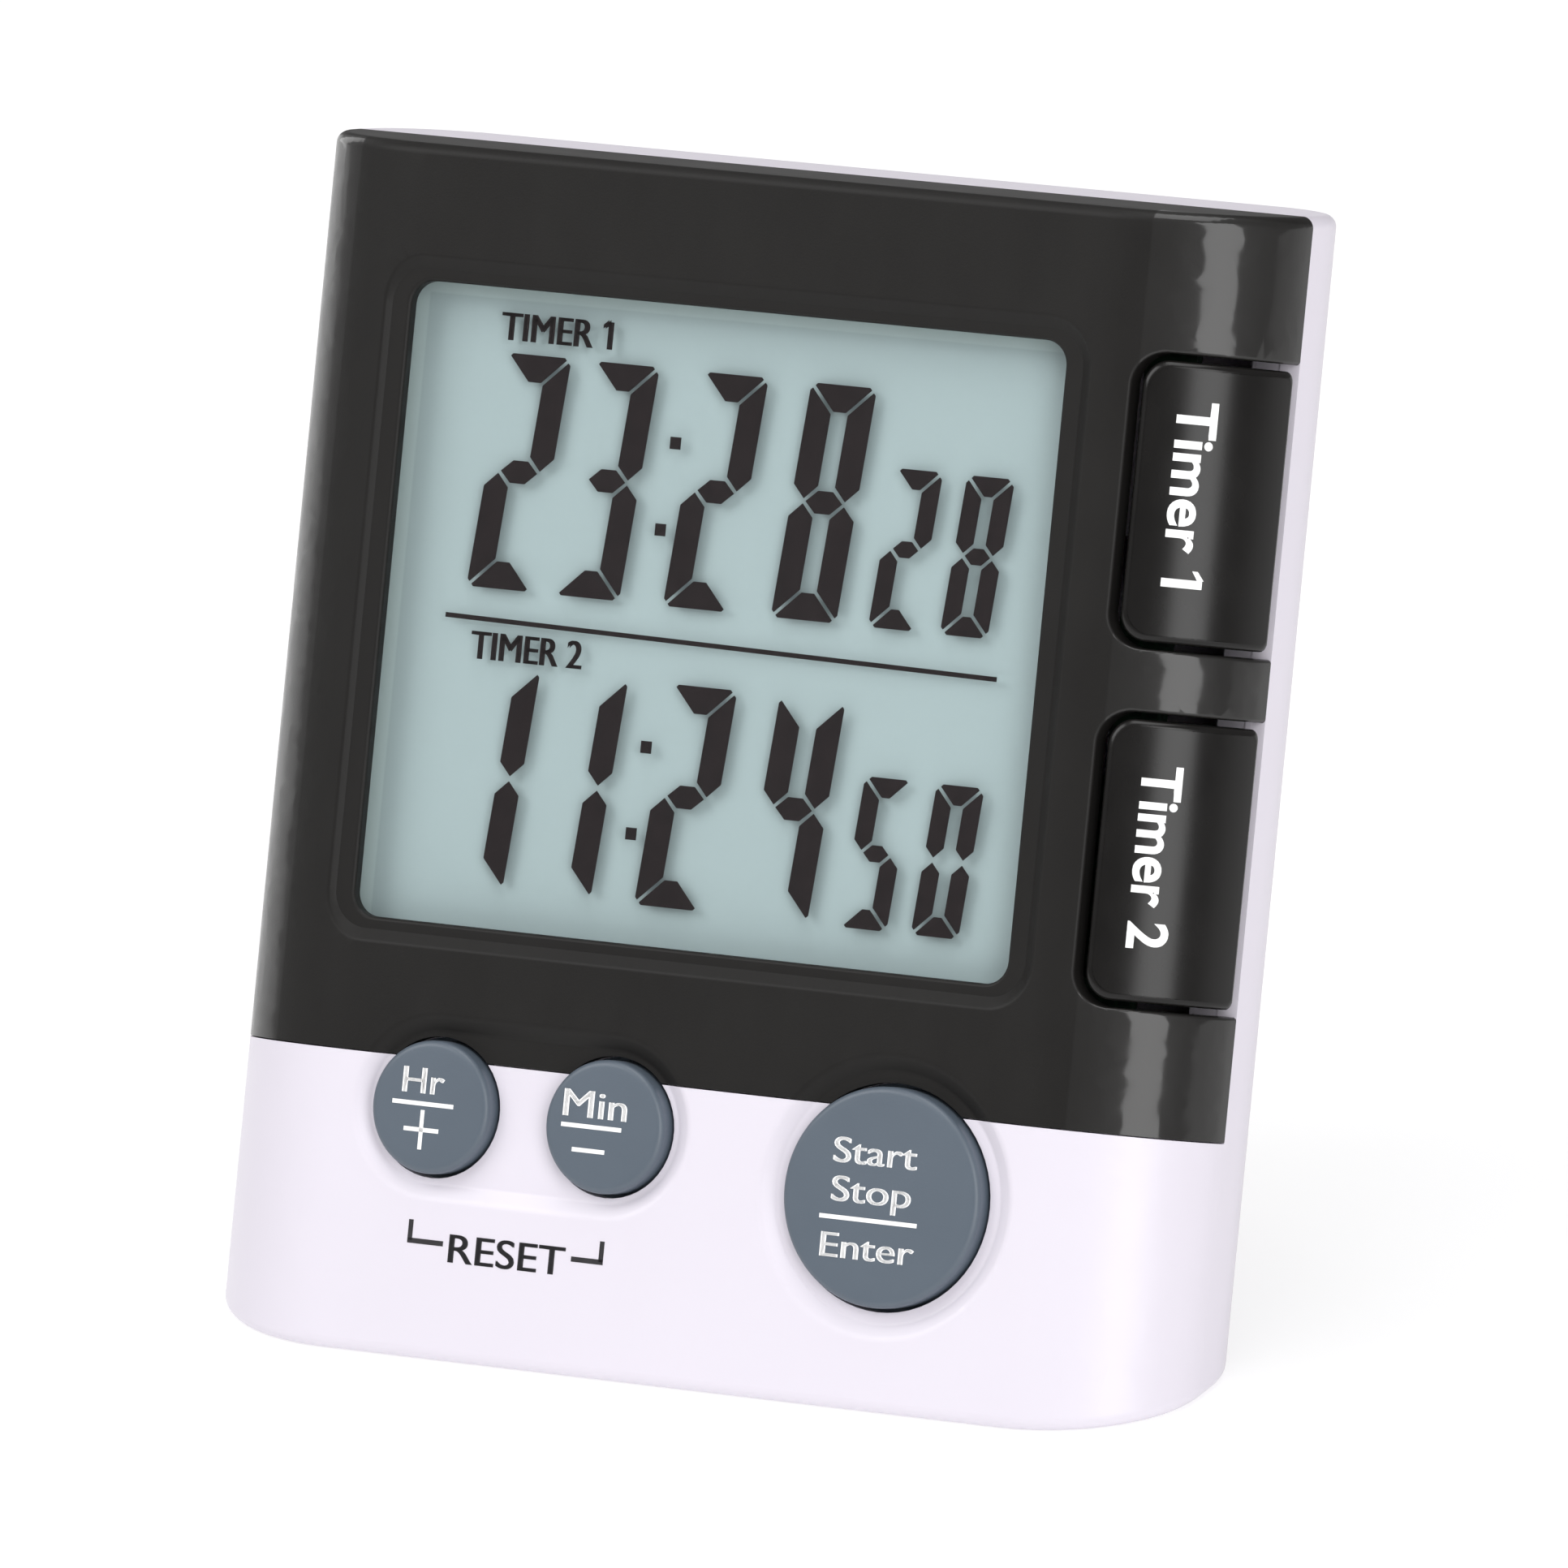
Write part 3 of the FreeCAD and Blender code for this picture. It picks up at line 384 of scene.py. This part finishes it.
# ---------------------------------------------------------------------------------------------------------
# Window lens and display glass. The lens is a clear acrylic plate behind the panel; the display behind it is
# two thin glass plates with the liquid crystal between them, and a grey-green reflector on the back.
def clear_plastic(name, gloss, tint):
    """Clear sheet: light goes straight through, a little tinted, and a small even share is reflected."""
    clear = Recipe(name, Roughness=0.04, IOR=1.49)
    through = clear.node("ShaderNodeBsdfTransparent", {}, {"Color": (*tint, 1.0)}, "BSDF")
    shine = clear.node("ShaderNodeBsdfGlossy", {}, {"Roughness": 0.05, "Color": (1.0, 1.0, 1.0, 1.0)}, "BSDF")
    smears = clear.noise(90.0, 3.0)
    facing = clear.node("ShaderNodeLayerWeight", {}, {"Blend": 0.2}, "Fresnel")
    share = gloss * (0.6 + 0.8 * smears) + gloss * facing
    sheet = clear.node("ShaderNodeMixShader", {}, {0: share, 1: through, 2: shine})
    clear.tree.links.new(sheet.socket, clear.tree.nodes["Material Output"].inputs["Surface"])
    return clear.material


def finish(material, *nodes):
    """Gives CAD nodes whose own shape is right a finish in place of their plain one."""
    for node in nodes:
        for slot in frame["nodes"][node].material_slots:
            slot.material = material


finish(clear_plastic("clear_lens", 0.012, (0.99, 0.99, 0.99)), "window_lens")
finish(clear_plastic("display_glass", 0.0, (0.985, 0.995, 0.99)), "lcd_front_glass")

glass_low, glass_high = case_box("lcd_rear_glass")
SEAL_WIDTH = 3.0
seal = Recipe("silvered_glass", IOR=1.45)
foil_across, foil_up = seal.along(RIGHT), seal.along(UP, ORIGIN @ UP / MM)
inside = foil_across.step(glass_low[0] + SEAL_WIDTH - 0.1, glass_low[0] + SEAL_WIDTH + 0.1)
below = 1.0 - foil_up.step(glass_high[2] - SEAL_WIDTH - 0.1, glass_high[2] - SEAL_WIDTH + 0.1)
speckle = seal.noise(12000.0, 2.0)
foil = seal.mix(speckle, (0.35, 0.43, 0.45), (0.39, 0.47, 0.49))
foil = seal.mix(inside * below, (0.44, 0.53, 0.54), foil)
finish(seal.paint(foil, 0.55), "lcd_rear_glass", "lcd_reflector")

# ---------------------------------------------------------------------------------------------------------
# Display figures. Each lit segment is a film of dark liquid crystal between the glasses: five- and six-sided
# bars, mitred where they meet, in figures that lean to the right. They show two running times.
SEGMENT_DEPTH = case_box("lcd_front_glass")[0][1] + 0.1
LEAN_OF_FIGURES = math.tan(math.radians(5.0))
LIT = {"0": "abcdef", "1": "bc", "2": "abged", "3": "abgcd", "4": "fgbc", "5": "afgcd", "8": "abcdefg"}
MITRE_GAP = 0.26
CORNER_CLIP = 0.55


def segment_outlines(width, height, bar, gap, clip):
    """Outlines of the seven bars of a figure: a mitre gap between bars, and the outer corners clipped."""
    k, m, half, clipped = gap * math.sqrt(0.5), height / 2, 0.42 * bar, clip / 2
    top = [(clipped + k / 2, height - clipped + k / 2), (clip, height), (width - clip, height),
           (width - clipped - k / 2, height - clipped + k / 2), (width - bar - k, height - bar),
           (bar + k, height - bar)]
    upper = [(width - clipped + k / 2, height - clipped - k / 2), (width, height - clip),
             (width, m + bar / 2 + k), (width - bar / 2, m + k), (width - bar, m + bar / 2 + k),
             (width - bar, height - bar - k)]
    middle = [(bar / 2 + k, m), (bar + k / 2, m + half), (width - bar - k / 2, m + half),
              (width - bar / 2 - k, m), (width - bar - k / 2, m - half), (bar + k / 2, m - half)]

    def flip(outline, mirror_x, mirror_y):
        return [(width - x if mirror_x else x, height - y if mirror_y else y) for x, y in outline]

    return {"a": top, "b": upper, "f": flip(upper, True, False), "c": flip(upper, False, True),
            "e": flip(upper, True, True), "d": flip(top, False, True), "g": middle}


def figures(text, left, foot, width, height, bar, pitch):
    """Outlines in case millimetres of a row of figures, the first one's foot at (left, foot)."""
    outlines = []
    for place, figure in enumerate(text):
        bars = segment_outlines(width, height, bar, MITRE_GAP, CORNER_CLIP)
        start = left + place * pitch
        for name in LIT[figure]:
            outlines.append([(start + x + y * LEAN_OF_FIGURES, foot + y) for x, y in bars[name]])
    return outlines


def bar_outline(x0, z0, x1, z1, thick):
    """A straight line of the given thickness, as a four-sided outline."""
    along = np.array((x1 - x0, z1 - z0))
    across = np.array((-along[1], along[0])) / np.hypot(*along) * thick / 2
    start, end = np.array((x0, z0)), np.array((x1, z1))
    return [tuple(start - across), tuple(end - across), tuple(end + across), tuple(start + across)]


def plates(name, outlines, depth, thick, finish_of, body):
    """Flat closed plates of the given outlines, fronts at depth: front, back, and a wall along each edge."""
    points, faces = [], []
    for outline in outlines:
        ring = np.array(outline)
        turned = np.sum(ring[:, 0] * np.roll(ring[:, 1], -1) - ring[:, 1] * np.roll(ring[:, 0], -1))
        if turned < 0:
            ring = ring[::-1]
        first, count = len(points), len(ring)
        points += [(x, depth, z) for x, z in ring] + [(x, depth + thick, z) for x, z in ring]
        faces.append(tuple(range(first, first + count)))
        faces.append(tuple(range(first + 2 * count - 1, first + count - 1, -1)))
        for corner in range(first, first + count):
            after = first + (corner + 1 - first) % count
            faces.append((corner, count + corner, count + after, after))
    points = np.array(points)
    mesh = bpy.data.meshes.new(name)
    mesh.from_pydata(at(points[:, 0], points[:, 1], points[:, 2]).tolist(), [], faces)
    mesh.materials.append(finish_of)
    return link(bpy.data.objects.new(name, mesh), body)


dark = Recipe("segment_dark", IOR=1.5, Specular_IOR_Level=0.1)
blotches = dark.noise(700.0, 3.0)
segment_dark = dark.paint(dark.mix(blotches, (0.0125, 0.0095, 0.0105), (0.021, 0.0155, 0.0165)), 0.5)
ROWS = ((57.0, 17.3, 11.7, "TIMER 1", 76.3, ("23", "28", "28"), (68.9, 62.5)),
        (35.1, 16.3, 11.1, "TIMER 2", 52.83, ("11", "24", "50"), (46.6, 40.2)))
shown = []
DOT_X, DOT_HALF = -7.4, 0.45
for foot, tall, small_tall, _, _, (hours, minutes, seconds), dots in ROWS:
    shown += figures(hours, -23.0, foot, 5.4, tall, 2.0, 7.35)
    shown += figures(minutes, -6.6, foot, 5.4, tall, 2.0, 8.95)
    shown += figures(seconds, 10.4, foot, 3.9, small_tall, 1.45, 5.9)
    for dot in dots:
        x = DOT_X + (dot - dots[1]) * LEAN_OF_FIGURES
        shown.append(bar_outline(x - DOT_HALF, dot, x + DOT_HALF, dot, 2 * DOT_HALF))
shown.append(bar_outline(-24.5, 54.75, 21.3, 54.15, 0.36))
plates("display_figures", shown, SEGMENT_DEPTH, 0.03, segment_dark, "case")

# ---------------------------------------------------------------------------------------------------------
# Display labels, and the lettering that all the signs share: plain upright capitals and small letters,
# printed in one thin coat.
def letters(words, width, height, weight):
    """Flat letters centred on the origin, as points and faces: the word is width millimetres long and a
    capital height millimetres tall; weight swells the strokes. A last figure 1, a bare stem in this face,
    gets a flag."""
    curve = bpy.data.curves.new("letters", "FONT")
    curve.body, curve.offset, curve.resolution_u = words, weight, 6
    flat = bpy.data.meshes.new_from_object(bpy.data.objects.new("letters", curve))
    flat_points = np.empty(len(flat.vertices) * 3, np.float32)
    flat.vertices.foreach_get("co", flat_points)
    across, up = flat_points.reshape(-1, 3)[:, :2].T.astype(float)
    faces = [tuple(face.vertices) for face in flat.polygons]
    if words.endswith("1"):
        stem = across[across > across.max() - ONE_STEM].min()
        faces.append(tuple(range(len(across), len(across) + len(ONE_FLAG))))
        across = np.concatenate((across, [stem + x for x, z in ONE_FLAG]))
        up = np.concatenate((up, [z for x, z in ONE_FLAG]))
    across = (across - (across.min() + across.max()) / 2) * width / np.ptp(across)
    return across, up * height / CAPITAL - height / 2, faces


CAPITAL = 0.729         # height of a capital in a font of size 1
ONE_STEM = 0.2          # more than the width of the figure 1's stem, and less than the space before it
ONE_FLAG = ((0.0, 0.73), (-0.15, 0.61), (-0.15, 0.51), (0.0, 0.61))


def print_on(name, words, spot, size, depth, ink, body, bolder):
    """Letters printed flat on a face at depth, centred on spot; size is the word's length and height. They
    are struck twice, bolder millimetres apart, which thickens the upright strokes."""
    across, up, faces = letters(words, size[0] - bolder, size[1], 0.0)
    count = len(across)
    across, up = np.concatenate((across - bolder / 2, across + bolder / 2)), np.tile(up, 2)
    faces += [tuple(corner + count for corner in face) for face in faces]
    mesh = bpy.data.meshes.new(name)
    mesh.from_pydata(at(spot[0] + across, depth, spot[1] + up).tolist(), [], faces)
    mesh.materials.append(ink)
    piece = bpy.data.objects.new(name, mesh)
    coat = piece.modifiers.new("coat", "SOLIDIFY")
    coat.thickness, coat.offset = INK_COAT * MM, -1.0
    return link(piece, body)


INK_COAT = 0.03
LABEL_BOLDER = 0.18
SIGN_BOLDER = 0.1
for row, (_, _, _, label, label_height, _, _) in enumerate(ROWS, 1):
    print_on(f"display_label_{row}", label, (-17.5, label_height), (9.35, 2.15), SEGMENT_DEPTH, segment_dark,
             "case", LABEL_BOLDER)

# ---------------------------------------------------------------------------------------------------------
# Button caps: three round caps of slate-grey ABS with a soft edge, each with a flange behind the case's wall
# that keeps it in. Their signs are printed in white.
slate = Recipe("grey_caps", IOR=1.5)
mottle, grain = slate.noise(200.0, 3.0), slate.noise(5200.0, 2.0)
slate.bump(grain, 0.25, 0.00003)
grey_caps = slate.paint(slate.mix(mottle, (0.082, 0.104, 0.132), (0.096, 0.120, 0.150)), 0.36 + 0.12 * grain)

white_ink = Recipe("white_ink", IOR=1.45)
cover = white_ink.noise(1500.0, 3.0)
white_print = white_ink.paint(white_ink.mix(cover, (0.86, 0.86, 0.86), (0.95, 0.95, 0.95)), 0.5)

CAP_EDGE = 0.5          # radius of the soft edge round a cap
CAP_CROWN = 0.06        # rise of the cap's face to its middle
FLANGE = 1.2            # how far the flange reaches past the cap
STEM = 1.6
TURNS = 128


def turned(name, spot, profile, finish_of, body, slot):
    """A profile of (radius, depth) points carried round a line through spot, and closed at both ends:
    point = spot + radius * (cos angle, sin angle), with the same depth all the way round."""
    radius, depth = np.array(profile).T
    angle = np.linspace(0.0, 2 * np.pi, TURNS, endpoint=False)
    ring_across = spot[0] + radius[:, None] * np.cos(angle)
    ring_up = spot[1] + radius[:, None] * np.sin(angle)
    points = at(ring_across, np.repeat(depth[:, None], TURNS, 1), ring_up).reshape(-1, 3)
    row, turn = np.meshgrid(np.arange(len(radius) - 1), np.arange(TURNS), indexing="ij")
    near, far = row * TURNS + turn, row * TURNS + (turn + 1) % TURNS
    quads = np.stack((near, near + TURNS, far + TURNS, far), -1).reshape(-1, 4)
    last = (len(radius) - 1) * TURNS
    caps = [tuple(range(TURNS)), tuple(range(last + TURNS - 1, last - 1, -1))]
    mesh = bpy.data.meshes.new(name)
    mesh.from_pydata(points.tolist(), [], quads.tolist() + caps)
    mesh.shade_smooth()
    mesh.set_sharp_from_angle(angle=EDGE_ANGLE)
    mesh.materials.append(finish_of)
    return link(bpy.data.objects.new(name, mesh), body)


def cap(node, signs):
    """A cap in place of its plain node, with its signs on its face."""
    low, high = case_box(node)
    spot = (low + high)[[0, 2]] / 2
    radius = (high[0] - low[0]) / 2 - FLANGE
    dome = np.linspace(0.05, 1.0, 12)[:-1]
    profile = [(dome_at * (radius - CAP_EDGE), low[1] - CAP_CROWN * (1 - dome_at ** 2)) for dome_at in dome]
    bend = np.linspace(0.0, np.pi / 2, 9)
    flat, rear, flange = radius - CAP_EDGE, high[1], radius + FLANGE
    profile += [(flat + CAP_EDGE * math.sin(t), low[1] + CAP_EDGE * (1 - math.cos(t))) for t in bend]
    profile += [(radius, rear - 0.95), (flange, rear - 0.85), (flange, rear - 0.05), (flange - 0.1, rear)]
    profile += [(STEM, rear)]
    piece = turned(node + "_cap", spot, profile, grey_caps, node, "grey_caps")
    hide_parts(node)
    face = low[1] - CAP_CROWN - 0.01
    for number, (words, sign_spot, size) in enumerate(signs, 1):
        print_on(f"{node}_sign_{number}", words, sign_spot, size, face, white_print, node,
                 SIGN_BOLDER)
    return face


def rule(name, spot, span, thick, depth, body, upright=False):
    """A printed line, level or upright, centred on spot."""
    half = span / 2
    ends = (spot[0], spot[1] - half, spot[0], spot[1] + half) if upright else \
        (spot[0] - half, spot[1], spot[0] + half, spot[1])
    plates(name, [bar_outline(*ends, thick)], depth, INK_COAT, white_print, body)


RULE = 0.32             # width of a printed line
hour_face = cap("hour_button", [("Hr", (-20.72, 20.75), (3.5, 2.0))])
rule("hour_rule", (-20.63, 19.0), 5.1, RULE, hour_face, "hour_button")
rule("hour_plus_level", (-20.58, 17.09), 2.9, RULE, hour_face, "hour_button")
rule("hour_plus_upright", (-20.58, 17.09), 2.9, RULE, hour_face, "hour_button", upright=True)
minute_face = cap("minute_button", [("Min", (-6.35, 20.4), (5.3, 2.1))])
rule("minute_rule", (-6.54, 18.7), 5.0, RULE, minute_face, "minute_button")
rule("minute_minus", (-6.61, 16.95), 2.7, RULE, minute_face, "minute_button")
START_SIGNS = [("Start", (16.96, 19.22), (6.9, 1.95)), ("Stop", (16.9, 16.4), (6.55, 1.95)),
               ("Enter", (16.98, 12.28), (7.7, 1.9))]
start_face = cap("start_stop_button", START_SIGNS)
rule("start_stop_rule", (16.84, 14.24), 8.0, RULE, start_face, "start_stop_button")

# ---------------------------------------------------------------------------------------------------------
# Signs on the keys: printed in white down the middle of each, so that they bend round with its face.
KEY_SIGN_LINE = 8.35    # distance round the skin from the flat face to the middle of the sign


def key_sign(name, words, key, middle, size, weight):
    """Letters that read downwards and bend round the corner: their height runs round the skin, their length
    runs down."""
    down, right, faces = letters(words, *size, weight)
    sheet = bmesh.new()
    for spot in zip(right, down):
        sheet.verts.new((*spot, 0.0))
    sheet.verts.ensure_lookup_table()
    for face in faces:
        sheet.faces.new([sheet.verts[corner] for corner in face])
    bmesh.ops.triangulate(sheet, faces=sheet.faces)
    bmesh.ops.subdivide_edges(sheet, edges=sheet.edges, cuts=2, use_grid_fill=True)
    bmesh.ops.triangulate(sheet, faces=sheet.faces)
    mesh = bpy.data.meshes.new(name)
    sheet.to_mesh(mesh)
    sheet.free()
    spots = np.empty(len(mesh.vertices) * 3, np.float32)
    mesh.vertices.foreach_get("co", spots)
    right, down = spots.reshape(-1, 3)[:, :2].T
    bent = round_corner(KEY_SIGN_LINE + right, middle - down, -INK_COAT)
    mesh.vertices.foreach_set("co", bent.astype(np.float32).ravel())
    mesh.flip_normals()
    mesh.materials.append(white_print)
    piece = bpy.data.objects.new(name, mesh)
    coat = piece.modifiers.new("coat", "SOLIDIFY")
    coat.thickness, coat.offset = INK_COAT * MM, -1.0
    return link(piece, key)


key_sign("timer_1_sign", "Timer 1", "timer_1_key", 68.85, (13.5, 3.0), 0.022)
key_sign("timer_2_sign", "Timer 2", "timer_2_key", 42.55, (13.3, 3.0), 0.022)

# ---------------------------------------------------------------------------------------------------------
# Reset bracket under the two small buttons: black print on the white foot, two short corners and a word.
black_ink = Recipe("black_ink", IOR=1.45)
cover = black_ink.noise(1500.0, 3.0)
black_print = black_ink.paint(black_ink.mix(cover, (0.014, 0.013, 0.015), (0.03, 0.028, 0.032)), 0.5)
BRACKET = (-21.05, -5.1, 8.94, 10.47)
BRACKET_LINE = 0.38
WORD = (-12.9, 9.7)     # the word's middle and length
WORD_SPACE = 0.5
left, right, foot, top = BRACKET
near = WORD[0] - WORD[1] / 2 - WORD_SPACE
far = WORD[0] + WORD[1] / 2 + WORD_SPACE
corners = ((left, foot, left, top), (left - BRACKET_LINE / 2, foot, near, foot),
           (right, foot, right, top), (far, foot, right + BRACKET_LINE / 2, foot))
bracket = [bar_outline(*ends, BRACKET_LINE) for ends in corners]
plates("reset_bracket", bracket, -0.02, 0.05, black_print, "case")
print_on("reset_word", "RESET", (WORD[0], 8.75), (WORD[1], 2.2), -0.02, black_print, "case",
         SIGN_BOLDER)

# ---------------------------------------------------------------------------------------------------------
# Inside and back: the parts that keep their CAD shape, each in its own material. Moulded rubber and ABS, a
# dark fibreglass board, plated and bare metals, a wrapped cell and insulated wire.
def grained(name, low, high, roughness, cloud, grain, relief, **surface):
    """Two near tones in clouds of cloud per metre, over a relief of grain per metre that varies the gloss."""
    stuff = Recipe(name, **surface)
    blotches, fine = stuff.noise(cloud, 4.0), stuff.noise(grain, 2.0)
    stuff.bump(fine, relief, 0.00003)
    return stuff.paint(stuff.mix(blotches, low, high), roughness + 0.12 * fine)


finish(grained("inner_plastic", (0.62, 0.62, 0.60), (0.70, 0.70, 0.68), 0.4, 120.0, 5000.0, 0.2),
       "lcd_frame")
finish(grained("grey_rubber", (0.16, 0.165, 0.17), (0.20, 0.205, 0.21), 0.6, 300.0, 4000.0, 0.3),
       "keypad_membrane")
finish(grained("epoxy", (0.010, 0.010, 0.011), (0.022, 0.021, 0.020), 0.22, 600.0, 2500.0, 0.2),
       "chip_blob")
finish(grained("steel", (0.46, 0.46, 0.47), (0.60, 0.60, 0.61), 0.28, 500.0, 6000.0, 0.2, Metallic=1.0),
       "case_screws", "board_screws", "stand_pin")
finish(grained("nickel", (0.58, 0.56, 0.52), (0.70, 0.68, 0.64), 0.2, 350.0, 7000.0, 0.12, Metallic=1.0),
       "battery_spring", "battery_plate_minus", "battery_plate_plus", "crystal", "magnet_left",
       "magnet_right")

zebra = Recipe("zebra_rubber")
layers = zebra.along(RIGHT).math("PINGPONG", zebra.along(RIGHT), 0.25).step(0.1, 0.15)
zebra.bump(layers, 0.2)
finish(zebra.paint(zebra.mix(layers, (0.02, 0.02, 0.02), (0.42, 0.26, 0.24)), 0.55), "zebra_strip")

board = Recipe("solder_mask", IOR=1.5)
track_sockets = {"Vector": board.place, "Scale": 400.0, "Mortar Size": 0.06}
tracks = board.node("ShaderNodeTexBrick", {"offset": 0.37}, track_sockets, "Fac")
weave = board.noise(2500.0, 2.0, (1.0, 1.0, 3.0))
board.bump(tracks + 0.3 * weave, 0.3)
mask = board.mix(weave, (0.003, 0.009, 0.005), (0.005, 0.013, 0.007))
finish(board.paint(board.mix(tracks, mask, (0.009, 0.024, 0.013)), 0.3), "circuit_board")

chips = Recipe("ceramic_parts")
ends = chips.noise(1800.0, 1.0)
chips.bump(ends, 0.2)
clay = chips.mix(ends.step(0.5, 0.6), (0.30, 0.19, 0.10), (0.42, 0.29, 0.17))
finish(chips.paint(clay, 0.45), "board_parts")

switch = Recipe("switch_dome")
stamped = switch.noise(900.0, 3.0)
inset = switch.along(BACK, case_box("side_switches")[0][1] + ORIGIN @ BACK / MM)
is_case = inset.step(0.25, 0.35)
switch.bump(stamped, 0.15)
switch.put(switch.surface, {"Metallic": 1.0 - is_case})
switch_tone = switch.mix(is_case, (0.62, 0.62, 0.63), (0.03, 0.03, 0.032))
finish(switch.paint(switch_tone, 0.3 + 0.1 * stamped), "side_switches")

disc = Recipe("brass_disc")
brushed = disc.noise(1500.0, 3.0, (8.0, 1.0, 1.0))
ceramic = 1.0 - disc.along(BACK, case_box("piezo_buzzer")[1][1] - 0.28 + ORIGIN @ BACK / MM).step(0.0, 0.03)
disc.bump(brushed, 0.12)
disc.put(disc.surface, {"Metallic": 1.0 - ceramic})
brass = disc.mix(brushed, (0.62, 0.44, 0.17), (0.75, 0.55, 0.24))
finish(disc.paint(disc.mix(ceramic, brass, (0.72, 0.70, 0.66)), 0.28 + 0.1 * brushed), "piezo_buzzer")

cell = Recipe("battery_wrap")
cell_low, cell_high = case_box("battery")
length = cell.along(RIGHT)
wrap_start = length.step(cell_low[0] + 0.9, cell_low[0] + 1.0)
wrap_end = length.step(cell_high[0] - 2.1, cell_high[0] - 2.0)
wrap = wrap_start * (1.0 - wrap_end)
band = length.step(cell_low[0] + 12.0, cell_low[0] + 12.1)
scuffs = cell.noise(400.0, 4.0, (0.3, 1.0, 1.0))
cell.bump(scuffs, 0.1)
cell.put(cell.surface, {"Metallic": 1.0 - wrap})
printed = cell.mix(band, (0.03, 0.05, 0.10), cell.mix(scuffs, (0.50, 0.50, 0.47), (0.60, 0.60, 0.57)))
finish(cell.paint(cell.mix(wrap, (0.62, 0.62, 0.62), printed), 0.25 + 0.15 * scuffs), "battery")

finish(grained("wire_red", (0.36, 0.02, 0.018), (0.46, 0.035, 0.03), 0.4, 400.0, 3000.0, 0.15),
       "battery_wires")
finish(grained("wire_black", (0.016, 0.016, 0.017), (0.03, 0.03, 0.031), 0.4, 400.0, 3000.0, 0.15),
       "buzzer_wires")
